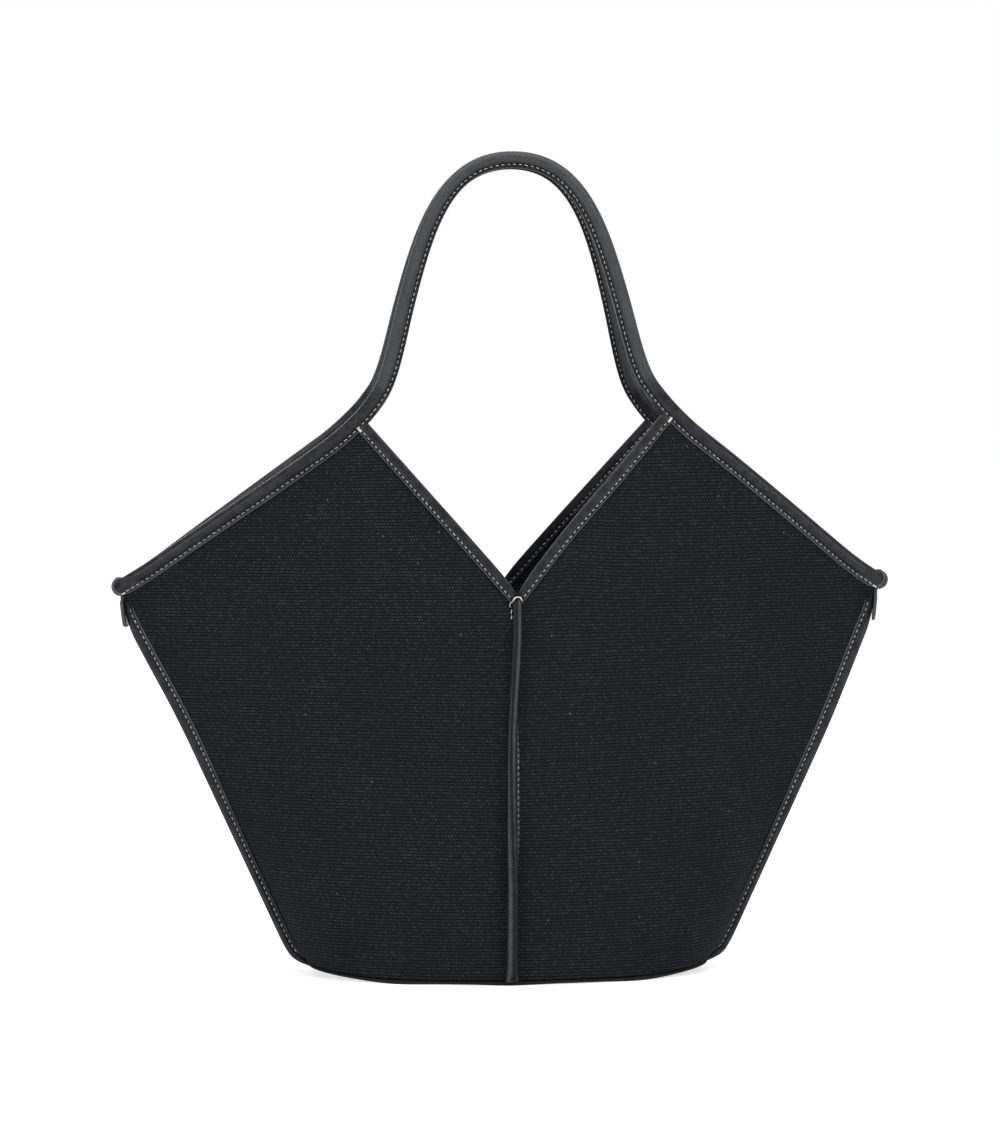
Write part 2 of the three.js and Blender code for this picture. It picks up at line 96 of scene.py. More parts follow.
def arc_length(line: Array) -> Array:
    """Distance along a line of points, from its first point."""
    steps = np.linalg.norm(np.diff(line, axis=0), axis=1)
    return np.concatenate([[0.0], np.cumsum(steps)])


def along(line: Array, lengths: Array, places: Array) -> Array:
    """Values of a line of points or vectors at given distances along it.

    Args:
        line: One row for each sample.
        lengths: Distance of each sample along the line.
        places: Distances to read.

    Returns:
        One row for each place.
    """
    return np.stack([np.interp(places, lengths, line[:, k]) for k in range(line.shape[1])], axis=-1)


def grid_normals(points: Array) -> Array:
    """Unit normals of a net of points, from the steps to its neighbours."""
    return unit(np.cross(np.gradient(points, axis=0), np.gradient(points, axis=1)))


def srgb(red: int, green: int, blue: int) -> tuple[float, float, float, float]:
    """Linear colour of a display colour given from 0 to 255."""
    share = np.array([red, green, blue]) / 255.0
    linear = np.where(share <= 0.04045, share / 12.92, ((share + 0.055) / 1.055) ** 2.4)
    return (float(linear[0]), float(linear[1]), float(linear[2]), 1.0)


# Where each copy of a shape goes

class Copy(Enum):
    """One copy of a shape: its name and the signs that its x and y take."""

    @property
    def label(self) -> str:
        """Name of the copy."""
        return self.value[0]

    def place(self, points: Array) -> Array:
        """Points of the first shape, carried to this copy."""
        return points * np.array([self.value[1], self.value[2], 1.0])


class Quarter(Copy):
    """One quarter of the bag, made from the front right one."""

    FRONT_RIGHT = ("front_right", 1, 1)
    FRONT_LEFT = ("front_left", -1, 1)
    BACK_LEFT = ("back_left", -1, -1)
    BACK_RIGHT = ("back_right", 1, -1)


class Half(Copy):
    """The front or back half, which is the front one turned half round."""

    FRONT = ("front", 1, 1)
    BACK = ("back", -1, -1)


class Side(Copy):
    """The left or right end of the bag, made from the right one."""

    LEFT = ("left", -1, 1)
    RIGHT = ("right", 1, 1)


@dataclass(frozen=True)
class Stance:
    """Slight twist in which the soft top stands: the left is lower and the handle roots are twisted."""

    tilt: float = 0.012
    tilt_start: float = 150.0
    drop: float = 0.7
    drop_span: tuple = (100.0, 200.0)
    twist: float = 1.7
    twist_start: float = 203.0
    root_half_depth: float = 44.8
    top: float = 475.0
    root_sway: float = 1.0
    top_sway: float = 2.2
    back_sway: float = 1.0
    tip_shift: float = -2.6
    tip_x_span: tuple = (100.0, 220.0)
    tip_z_span: tuple = (130.0, 215.0)
    front_tip_shift: float = -1.5
    front_tip_span: tuple = (-6.0, 6.0)
    seam_drift: float = -2.8
    drift_width: float = 42.0
    drift_out_span: tuple = (20.0, 50.0)
    drift_z_span: tuple = (145.0, 207.0)
    fin_lean: float = 0.52
    lean_pivot: float = 4.2
    lean_in_span: tuple = (48.0, 98.0)
    lean_out_span: tuple = (126.0, 168.0)
    fin_depth: float = 9.0
    notch_bow: float = 2.2
    bow_x: float = 31.0
    bow_width: float = 22.0
    bow_z_span: tuple = (190.0, 235.0)
    bow_out_span: tuple = (25.0, 50.0)

    def settle(self, points: Array) -> Array:
        """Carry points of the symmetrical bag to the twisted stance.

        Args:
            points: One row of x, y, z for each point.

        Returns:
            The moved points.
        """
        x, y, z = points.T
        root = WALL.peak_height
        tilt_rise = np.clip((z - self.tilt_start) / (root - self.tilt_start), 0.0, 1.0)
        twist_rise = np.clip((z - self.twist_start) / (root - self.twist_start), 0.0, 1.0)
        high = ease(z, root, self.top)
        behind = ease(y, -self.root_half_depth, self.root_half_depth)
        sway = lerp(self.root_sway, self.top_sway, high) + self.back_sway * (1.0 - high) * behind
        tips = ease(np.abs(x), *self.tip_x_span) * ease(z, *self.tip_z_span)
        front_tips = self.front_tip_shift * fade(y, *self.front_tip_span)
        saddle = x * y / (WALL.hinge_half_spread * self.root_half_depth)
        middle = np.exp(-((x / self.drift_width) ** 2)) * ease(-y, *self.drift_out_span)
        drift = self.seam_drift * fade(z, *self.drift_z_span)
        wall = WALL.out(np.full_like(z, WALL.seam_out), np.maximum(z, WALL.foot))
        stand = np.clip(-y - wall, 0.0, self.fin_depth)
        lean = self.fin_lean * ease(z, *self.lean_in_span) * fade(z, *self.lean_out_span)
        bow = np.exp(-(((x - self.bow_x) / self.bow_width) ** 2)) * ease(z, *self.bow_z_span)
        moved = points.copy()
        moved[:, 0] += sway * twist_rise**2 + (self.tip_shift + front_tips) * tips
        moved[:, 0] += middle * (drift - lean * (stand - self.lean_pivot))
        moved[:, 2] += self.tilt * x * tilt_rise - self.twist * saddle * twist_rise
        moved[:, 2] -= self.drop * tilt_rise * (1.0 - high) * fade(np.abs(x), *self.drop_span)
        moved[:, 2] += self.notch_bow * bow * ease(-y, *self.bow_out_span)
        return moved


STANCE = Stance()


class Net:
    """Points and faces of one piece as they are gathered, with the values that its material reads."""

    def __init__(self) -> None:
        """Start with nothing."""
        self.points: list[Array] = []
        self.wear_and_light: list[Array] = []
        self.cloth: list[Array] = []
        self.faces: list[tuple[int, ...]] = []
        self.count = 0

    def add(self, points: Array, wear_and_light: Number = 0.0,
            cloth: Array | None = None) -> Array:
        """Take in points.

        Args:
            points: Any array whose last axis is x, y, z.
            wear_and_light: How pale each point is, up to 1, for cut edges and painted highlights; below 0,
                its painted shade.
            cloth: Place of each point on the flat material, or nothing for its place in space.

        Returns:
            The points' numbers, in the shape of the array.
        """
        flat = points.reshape(-1, 3)
        numbers = self.count + np.arange(len(flat)).reshape(points.shape[:-1])
        self.points.append(flat)
        self.wear_and_light.append(np.broadcast_to(wear_and_light, points.shape[:-1]).reshape(-1))
        self.cloth.append(flat if cloth is None else cloth.reshape(-1, 3))
        self.count += len(flat)
        return numbers

    def quads(self, numbers: Array, around: bool = False) -> None:
        """Join a net of point numbers by quads.

        Args:
            numbers: Point numbers, with the net's rows and columns as the last two axes.
            around: Whether each row closes on itself.
        """
        if around:
            numbers = np.concatenate([numbers, numbers[..., :1]], axis=-1)
        corners = [numbers[..., :-1, :-1], numbers[..., :-1, 1:], numbers[..., 1:, 1:], numbers[..., 1:, :-1]]
        self.faces.extend(map(tuple, np.stack(corners, axis=-1).reshape(-1, 4).tolist()))

    def tube(self, rings: Array, wear_and_light: Number = 0.0,
             cloth: Array | None = None) -> None:
        """Join closed rings to a tube with closed ends.

        Args:
            rings: Points with the rings and the places round them as the last axes before x, y, z.
            wear_and_light: Paleness of cut edges and painted highlights, and painted shade, at the points.
            cloth: Place of the points on the flat material.
        """
        numbers = self.add(rings, wear_and_light, cloth)
        self.quads(numbers, around=True)
        ends = numbers.reshape(-1, numbers.shape[-2], numbers.shape[-1])
        for tube in ends:
            self.faces.append(tuple(tube[0].tolist()))
            self.faces.append(tuple(tube[-1].tolist()))

    def shell(self, middle: Array, thickness: float, cloth: Array) -> None:
        """Thicken a net of points to a closed sheet.

        Args:
            middle: Net of points half way through the sheet.
            thickness: Thickness of the sheet.
            cloth: Place of each point on the flat cloth.
        """
        normals = grid_normals(middle) * thickness / 2.0
        faces = [self.add(middle + normals, 0.0, cloth), self.add(middle - normals, 0.0, cloth)]
        borders = []
        for numbers in faces:
            self.quads(numbers)
            edges = [numbers[0, :-1], numbers[:-1, -1], numbers[-1, :0:-1], numbers[:0:-1, 0]]
            borders.append(np.concatenate(edges))
        self.quads(np.stack(borders), around=True)

    def piece(self, name: str, material: Material, slot: str,
              sharp: float = 50.0) -> bpy.types.Object:
        """Make the object.

        Args:
            name: Name of the piece.
            material: Its finish.
            slot: Not used.
            sharp: Angle in degrees above which an edge is drawn as a crease.

        Returns:
            The object, in metres, in the shared frame.
        """
        mesh = bpy.data.meshes.new(name)
        points = STANCE.settle(np.concatenate(self.points)) * MM
        mesh.from_pydata(points.tolist(), [], self.faces)
        bm = bmesh.new()
        bm.from_mesh(mesh)
        bmesh.ops.recalc_face_normals(bm, faces=bm.faces)
        bm.to_mesh(mesh)
        bm.free()
        mesh.attributes.new("wear_and_light", "FLOAT", "POINT").data.foreach_set("value", np.concatenate(self.wear_and_light))
        cloth = mesh.attributes.new("cloth", "FLOAT_VECTOR", "POINT")
        cloth.data.foreach_set("vector", np.concatenate(self.cloth).ravel())
        mesh.polygons.foreach_set("use_smooth", np.ones(len(mesh.polygons), dtype=bool))
        mesh.set_sharp_from_angle(angle=math.radians(sharp))
        mesh.materials.append(material)
        piece = bpy.data.objects.new(name, mesh)
        bpy.context.scene.collection.objects.link(piece)
        log.info("%s: %d points, %d faces", name, len(mesh.vertices), len(mesh.polygons))
        return piece


# Shader nodes

class Sketch:
    """Adds shader nodes to one tree and links them, with the numbers of the mix node's sockets."""

    MIX_SHARE = 0
    MIX_FIRST = 6
    MIX_SECOND = 7
    MIX_RESULT = 2

    def __init__(self, tree: Tree) -> None:
        """Work on a tree."""
        self.tree = tree

    def fill(self, node: Node, inputs: dict) -> None:
        """Set a node's inputs, each to a value or from a socket."""
        for key, value in inputs.items():
            if isinstance(value, Socket):
                self.tree.links.new(value, node.inputs[key])
            else:
                node.inputs[key].default_value = value

    def node(self, kind: str, inputs: dict | None = None, **settings: object) -> Node:
        """Add a node.

        Args:
            kind: Type of the node.
            inputs: A value or a socket for each named or numbered input.
            **settings: Properties of the node.

        Returns:
            The node.
        """
        made = self.tree.nodes.new(kind)
        for key, value in settings.items():
            setattr(made, key, value)
        self.fill(made, inputs or {})
        return made

    def math(self, operation: str, *values: object) -> Socket:
        """Result of a sum on values or sockets."""
        return self.node("ShaderNodeMath", dict(enumerate(values)), operation=operation).outputs[0]

    def vector(self, operation: str, inputs: dict) -> Socket:
        """Vector that a sum on vectors gives."""
        return self.node("ShaderNodeVectorMath", inputs, operation=operation).outputs[0]

    def noise(self, vector: Socket, scale: float, detail: float) -> Socket:
        """Cloudy value from 0 to 1 over a vector."""
        inputs = {"Vector": vector, "Scale": scale, "Detail": detail}
        return self.node("ShaderNodeTexNoise", inputs).outputs[0]

    def ramp(self, value: Socket, low: float, high: float) -> Socket:
        """Value eased from 0 at low to 1 at high."""
        inputs = {"Value": value, "From Min": low, "From Max": high}
        return self.node("ShaderNodeMapRange", inputs, interpolation_type="SMOOTHSTEP").outputs[0]

    def mix(self, share: Socket, first: object, second: object) -> Socket:
        """Colour between two colours or sockets."""
        inputs = {self.MIX_SHARE: share, self.MIX_FIRST: first, self.MIX_SECOND: second}
        return self.node("ShaderNodeMix", inputs, data_type="RGBA").outputs[self.MIX_RESULT]

    def bump(self, height: Socket, depth: float) -> Socket:
        """Normal of a surface raised by a height, where a height of 1 is a depth in millimetres."""
        return self.node("ShaderNodeBump", {"Height": height, "Distance": depth * MM}).outputs[0]

    def read(self, name: str, output: str) -> Socket:
        """A value that each point of the mesh carries."""
        return self.node("ShaderNodeAttribute", attribute_name=name).outputs[output]


class Effect(Enum):
    """Shared effects, each one node group."""

    WEAVE = "weave"
    GRAIN = "grain"
    EDGE = "edge"
    LINT = "lint"

    def tree(self) -> Tree:
        """The effect's node group, built on first use."""
        found = bpy.data.node_groups.get(self.value)
        return found if found else EFFECT_MAKERS[self]()

    def use(self, sketch: Sketch, inputs: dict) -> Node:
        """Place the effect in a material.

        Args:
            sketch: The material's nodes.
            inputs: Values or sockets for the group's inputs.

        Returns:
            The group node.
        """
        return sketch.node("ShaderNodeGroup", inputs, node_tree=self.tree())


def new_group(effect: Effect, inputs: dict[str, str], outputs: list[str]) -> tuple[Sketch, dict, Node]:
    """Start a node group.

    Args:
        effect: The effect that the group makes.
        inputs: Socket type for each input's name.
        outputs: Names of the outputs, which are all values.

    Returns:
        The sketch, the input sockets by name and the node that takes the outputs.
    """
    tree = bpy.data.node_groups.new(effect.value, "ShaderNodeTree")
    for name, kind in inputs.items():
        tree.interface.new_socket(name, in_out="INPUT", socket_type=kind)
    for name in outputs:
        tree.interface.new_socket(name, in_out="OUTPUT", socket_type="NodeSocketFloat")
    sketch = Sketch(tree)
    start = sketch.node("NodeGroupInput")
    stop = sketch.node("NodeGroupOutput")
    return sketch, {name: start.outputs[name] for name in inputs}, stop


def make_weave() -> Tree:
    """Plain weave of thick yarn: round floats in rows, every second row shifted by half a float.

    Returns:
        The group's nodes.
    """
    drift_scale = 0.11
    drift_reach = (0.9, 0.9, 0.0)
    float_narrow = 1.9
    float_ends = 2.6
    float_low = 2.1
    fibre_comb = (0.8, 5.0, 1.0)
    fibre_scale = 1.3
    least_height = 0.7
    chance_height = 0.3
    fibre_height = 0.3
    least_tone = 0.55
    fibre_tone = 0.9
    sketch, given, out = new_group(
        Effect.WEAVE,
        {"Cloth": "NodeSocketVector", "Float Pitch": "NodeSocketFloat", "Row Pitch": "NodeSocketFloat"},
        ["Height", "Float", "Chance"],
    )
    cloud = {"Vector": given["Cloth"], "Scale": drift_scale, "Detail": 2.0}
    drift = sketch.node("ShaderNodeTexNoise", cloud).outputs[1]
    wander = sketch.vector("MULTIPLY", {0: drift, 1: drift_reach})
    place = sketch.node("ShaderNodeSeparateXYZ", {0: sketch.vector("ADD", {0: given["Cloth"], 1: wander})})
    row_share = sketch.math("DIVIDE", place.outputs[1], given["Row Pitch"])
    row = sketch.math("FLOOR", row_share)
    shift = sketch.math("FRACT", sketch.math("MULTIPLY", row, 0.5))
    column_share = sketch.math("ADD", sketch.math("DIVIDE", place.outputs[0], given["Float Pitch"]), shift)
    column = sketch.math("FLOOR", column_share)
    across = sketch.math("SUBTRACT", sketch.math("FRACT", column_share), 0.5)
    up = sketch.math("SUBTRACT", sketch.math("FRACT", row_share), 0.5)
    side = sketch.math("ABSOLUTE", sketch.math("MULTIPLY", across, float_narrow))
    wide = sketch.math("POWER", side, float_ends)
    high = sketch.math("POWER", sketch.math("MULTIPLY", up, float_low), 2.0)
    dome = sketch.math("MAXIMUM", sketch.math("SUBTRACT", 1.0, sketch.math("ADD", wide, high)), 0.0)
    cell = sketch.node("ShaderNodeCombineXYZ", {0: column, 1: row}).outputs[0]
    chance = sketch.node("ShaderNodeTexWhiteNoise", {"Vector": cell}, noise_dimensions="3D").outputs[0]
    fibre = sketch.noise(sketch.vector("MULTIPLY", {0: given["Cloth"], 1: fibre_comb}), fibre_scale, 3.0)
    growth = sketch.math("ADD", least_height, sketch.math("MULTIPLY", chance, chance_height))
    grown = sketch.math("MULTIPLY", dome, growth)
    height = sketch.math("ADD", grown, sketch.math("MULTIPLY", fibre, fibre_height))
    tone = sketch.math("ADD", least_tone, sketch.math("MULTIPLY", fibre, fibre_tone))
    streaked = sketch.math("MULTIPLY", dome, tone)
    sketch.fill(out, {"Height": height, "Float": streaked, "Chance": chance})
    return sketch.tree


def make_grain() -> Tree:
    """Fine leather grain with softer pores and a cloudy tone.

    Returns:
        The group's nodes.
    """
    pore_scale = 1.9
    pore_height = -0.6
    crease_scale = 0.9
    crease_height = 0.8
    tone_scale = 0.12
    detail = 4.0
    inputs = {"Cloth": "NodeSocketVector", "Scale": "NodeSocketFloat"}
    sketch, given, out = new_group(Effect.GRAIN, inputs, ["Height", "Tone"])
    scaled = sketch.vector("SCALE", {0: given["Cloth"], 3: given["Scale"]})
    cells = sketch.node("ShaderNodeTexVoronoi", {"Vector": scaled, "Scale": pore_scale}, feature="F1")
    pores = sketch.math("MULTIPLY", cells.outputs[0], pore_height)
    creases = sketch.math("MULTIPLY", sketch.noise(scaled, crease_scale, detail), crease_height)
    tone = sketch.noise(scaled, tone_scale, detail)
    sketch.fill(out, {"Height": sketch.math("ADD", pores, creases), "Tone": tone})
    return sketch.tree


def make_edge() -> Tree:
    """Paler fibre along cut edges and painted highlights along folds, broken up along them, and painted shade
    in hollows at stitches.

    Returns:
        The group's nodes.
    """
    cloud_scale = 0.9
    rough_span = (0.25, 0.85)
    wear_span = (0.0, 0.3)
    shade_span = (0.05, 0.9)
    detail = 4.0
    half_way = 0.5
    inputs = {"Wear And Light": "NodeSocketFloat", "Cloth": "NodeSocketVector", "Break Up": "NodeSocketFloat"}
    sketch, given, out = new_group(Effect.EDGE, inputs, ["Mask", "Painted Shade"])
    cloud = sketch.math("SUBTRACT", sketch.noise(given["Cloth"], cloud_scale, detail), half_way)
    rough = sketch.math("ADD", given["Wear And Light"], sketch.math("MULTIPLY", cloud, given["Break Up"]))
    mask = sketch.math("MULTIPLY", sketch.ramp(rough, *rough_span), sketch.ramp(given["Wear And Light"], *wear_span))
    # Painted shade where the value is below 0.
    hollow = sketch.ramp(sketch.math("MULTIPLY", given["Wear And Light"], -1.0), *shade_span)
    sketch.fill(out, {"Mask": mask, "Painted Shade": hollow})
    return sketch.tree


def make_lint() -> Tree:
    """Sparse pale specks of lint and dust.

    Returns:
        The group's nodes.
    """
    speck_span = (0.06, 0.16)
    inputs = {"Cloth": "NodeSocketVector", "Spacing": "NodeSocketFloat", "Share": "NodeSocketFloat"}
    sketch, given, out = new_group(Effect.LINT, inputs, ["Mask"])
    scaled = sketch.vector("DIVIDE", {0: given["Cloth"], 1: given["Spacing"]})
    spots = sketch.node("ShaderNodeTexVoronoi", {"Vector": scaled, "Scale": 1.0}, feature="F1")
    close = sketch.math("SUBTRACT", 1.0, sketch.ramp(spots.outputs[0], *speck_span))
    pick = sketch.node("ShaderNodeSeparateColor", {0: spots.outputs[1]}).outputs[0]
    kept = sketch.math("LESS_THAN", pick, given["Share"])
    sketch.fill(out, {"Mask": sketch.math("MULTIPLY", close, kept)})
    return sketch.tree


EFFECT_MAKERS = {
    Effect.WEAVE: make_weave,
    Effect.GRAIN: make_grain,
    Effect.EDGE: make_edge,
    Effect.LINT: make_lint,
}


def new_material(name: str) -> tuple[Material, Sketch, Node]:
    """Start a material.

    Args:
        name: Name of the finish.

    Returns:
        The material, a sketch of its nodes and its Principled shader.
    """
    material = bpy.data.materials.new(name)
    material.use_nodes = True
    return material, Sketch(material.node_tree), material.node_tree.nodes["Principled BSDF"]


@dataclass(frozen=True)
class CanvasFinish:
    """Near black canvas of thick yarn."""

    yarn: tuple = srgb(32, 37, 41)
    faded: tuple = srgb(49, 54, 57)
    # Dark colour between the floats, painted shade in the weave's gaps; the cloudy tone also leans towards
    # it.
    gap: tuple = srgb(9, 12, 15)
    lint: tuple = srgb(96, 100, 102)
    float_pitch: float = 1.75
    row_pitch: float = 1.85
    pale_power: float = 3.0
    cloud_scale: float = 0.02
    cloud_span: tuple = (0.3, 0.7)
    cloud_share: float = 0.22
    crown_span: tuple = (0.12, 0.75)
    lint_spacing: float = 4.0
    lint_share: float = 0.015
    relief: float = 0.42
    roughness: float = 0.9
    specular: float = 0.12

    def material(self) -> Material:
        """The finish as a material.

        Returns:
            The new material.
        """
        material, sketch, shader = new_material("woven_canvas")
        cloth = sketch.read("cloth", "Vector")
        weave = Effect.WEAVE.use(
            sketch, {"Cloth": cloth, "Float Pitch": self.float_pitch, "Row Pitch": self.row_pitch}
        )
        pale = sketch.math("POWER", weave.outputs["Chance"], self.pale_power)
        yarn = sketch.mix(pale, self.yarn, self.faded)
        cloud = sketch.ramp(sketch.noise(cloth, self.cloud_scale, 3.0), *self.cloud_span)
        toned = sketch.mix(sketch.math("MULTIPLY", cloud, self.cloud_share), yarn, self.gap)
        # The weave's pattern with painted shade: floats take the yarn colour, and the gaps between them the
        # dark gap colour.
        crown = sketch.ramp(weave.outputs["Float"], *self.crown_span)
        woven = sketch.mix(crown, self.gap, toned)
        lint = Effect.LINT.use(
            sketch, {"Cloth": cloth, "Spacing": self.lint_spacing, "Share": self.lint_share}
        )
        colour = sketch.mix(lint.outputs["Mask"], woven, self.lint)
        sketch.fill(shader, {
            "Base Color": colour, "Roughness": self.roughness, "Specular IOR Level": self.specular,
            "Normal": sketch.bump(weave.outputs["Height"], self.relief),
        })
        return material


@dataclass(frozen=True)
class LeatherFinish:
    """Charcoal leather with a satin face and paler cut edges, plus painted highlights on folds and painted
    shade in hollows.
    """

    name: str = "smooth_leather"
    face: tuple = srgb(40, 41, 45)
    deep: tuple = srgb(22, 22, 26)
    edge: tuple = srgb(82, 84, 86)
    # Colour of the painted shade in grooves, creases and under the roll.
    hollow: tuple = srgb(10, 10, 12)
    grain: float = 1.6
    tone_span: tuple = (0.34, 0.66)
    break_up: float = 0.2
    shade_share: float = 0.85
    lint_spacing: float = 7.0
    lint_share: float = 0.04
    lint_tone: float = 0.5
    relief: float = 0.035
    roughness_low: float = 0.38
    roughness_high: float = 0.56
    worn_roughness: float = 0.3
    specular: float = 0.22
    coat: float = 0.08
    coat_roughness: float = 0.2

    def material(self) -> Material:
        """The finish as a material.

        Returns:
            The new material.
        """
        material, sketch, shader = new_material(self.name)
        cloth = sketch.read("cloth", "Vector")
        grain = Effect.GRAIN.use(sketch, {"Cloth": cloth, "Scale": self.grain})
        edge = Effect.EDGE.use(
            sketch, {"Wear And Light": sketch.read("wear_and_light", "Fac"), "Cloth": cloth, "Break Up": self.break_up}
        )
        lint = Effect.LINT.use(
            sketch, {"Cloth": cloth, "Spacing": self.lint_spacing, "Share": self.lint_share}
        )
        mask = edge.outputs["Mask"]
        hollow = edge.outputs["Painted Shade"]
        face = sketch.mix(sketch.ramp(grain.outputs["Tone"], *self.tone_span), self.deep, self.face)
        dusty = sketch.mix(sketch.math("MULTIPLY", lint.outputs["Mask"], self.lint_tone), face, self.edge)
        # Paler colour for cut edges and for painted highlights on folds and the handle roll.
        pale = sketch.mix(mask, dusty, self.edge)
        # Painted shade: darkened towards the hollow colour in grooves, creases and under the roll.
        colour = sketch.mix(sketch.math("MULTIPLY", hollow, self.shade_share), pale, self.hollow)
        span = self.roughness_high - self.roughness_low
        gloss = sketch.math("ADD", self.roughness_low, sketch.math("MULTIPLY", grain.outputs["Tone"], span))
        worn = sketch.math("MULTIPLY", sketch.math("MAXIMUM", mask, hollow), self.worn_roughness)
        coat = sketch.math("MULTIPLY", sketch.math("SUBTRACT", 1.0, hollow), self.coat)
        sketch.fill(shader, {
            "Base Color": colour, "Roughness": sketch.math("ADD", gloss, worn), "Coat Weight": coat,
            "Specular IOR Level": self.specular, "Coat Roughness": self.coat_roughness,
            "Normal": sketch.bump(grain.outputs["Height"], self.relief),
        })
        return material


@dataclass(frozen=True)
class ThreadFinish:
    """Waxed sewing thread, twisted from strands."""

    name: str = "pale_thread"
    light: tuple = srgb(198, 198, 195)
    dark: tuple = srgb(136, 135, 133)
    strand_scale: float = 0.9
    strand_twist: float = 1.5
    strand_share: float = 0.55
    soil_scale: float = 0.25
    soil_span: tuple = (0.35, 0.7)
    soil_share: float = 0.7
    relief: float = 0.08
    roughness: float = 0.6
    specular: float = 0.3

    def material(self) -> Material:
        """The finish as a material.

        Returns:
            The new material.
        """
        material, sketch, shader = new_material(self.name)
        cloth = sketch.read("cloth", "Vector")
        inputs = {"Vector": cloth, "Scale": self.strand_scale, "Distortion": self.strand_twist}
        twist = sketch.node("ShaderNodeTexWave", inputs).outputs[1]
        soil = sketch.ramp(sketch.noise(cloth, self.soil_scale, 3.0), *self.soil_span)
        strand = sketch.math("MULTIPLY", twist, self.strand_share)
        dull = sketch.math("MAXIMUM", strand, sketch.math("MULTIPLY", soil, self.soil_share))
        sketch.fill(shader, {
            "Base Color": sketch.mix(dull, self.light, self.dark), "Roughness": self.roughness,
            "Specular IOR Level": self.specular, "Normal": sketch.bump(twist, self.relief),
        })
        return material


@dataclass(frozen=True)
class CordFinish:
    """Natural twisted cord inside the rolls."""

    light: tuple = srgb(190, 178, 158)
    dark: tuple = srgb(140, 128, 108)
    lay_scale: float = 0.25
    lay_twist: float = 0.6
    relief: float = 0.4
    roughness: float = 0.85

    def material(self) -> Material:
        """The finish as a material.

        Returns:
            The new material.
        """
        material, sketch, shader = new_material("twisted_cord")
        cloth = sketch.read("cloth", "Vector")
        inputs = {"Vector": cloth, "Scale": self.lay_scale, "Distortion": self.lay_twist}
        lay = sketch.node("ShaderNodeTexWave", inputs).outputs[1]
        sketch.fill(shader, {
            "Base Color": sketch.mix(lay, self.dark, self.light), "Roughness": self.roughness,
            "Normal": sketch.bump(lay, self.relief),
        })
        return material


@dataclass(frozen=True)
class BoardFinish:
    """Bonded leather board in the base."""

    fibre: tuple = srgb(52, 51, 52)
    deep: tuple = srgb(34, 34, 36)
    grain: float = 0.8
    tone_span: tuple = (0.3, 0.7)
    relief: float = 0.15
    roughness: float = 0.8

    def material(self) -> Material:
        """The finish as a material.

        Returns:
            The new material.
        """
        material, sketch, shader = new_material("bonded_board")
        place = sketch.node("ShaderNodeTexCoord").outputs["Object"]
        scaled = sketch.vector("SCALE", {0: place, 3: 1.0 / MM})
        grain = Effect.GRAIN.use(sketch, {"Cloth": scaled, "Scale": self.grain})
        tone = sketch.ramp(grain.outputs["Tone"], *self.tone_span)
        sketch.fill(shader, {
            "Base Color": sketch.mix(tone, self.deep, self.fibre), "Roughness": self.roughness,
            "Normal": sketch.bump(grain.outputs["Height"], self.relief),
        })
        return material


SOLE_LEATHER = LeatherFinish("base_leather", srgb(23, 23, 26), srgb(14, 14, 16))
TACK_THREAD = ThreadFinish("cream_thread", srgb(240, 237, 224), srgb(208, 203, 186))


@dataclass(frozen=True)
class Finishes:
    """The materials that the pieces share, each built once."""

    canvas: Material = field(default_factory=CanvasFinish().material)
    leather: Material = field(default_factory=LeatherFinish().material)
    sole: Material = field(default_factory=SOLE_LEATHER.material)
    thread: Material = field(default_factory=ThreadFinish().material)
    tack: Material = field(default_factory=TACK_THREAD.material)
    cord: Material = field(default_factory=CordFinish().material)
    board: Material = field(default_factory=BoardFinish().material)


# The shape that the pieces share

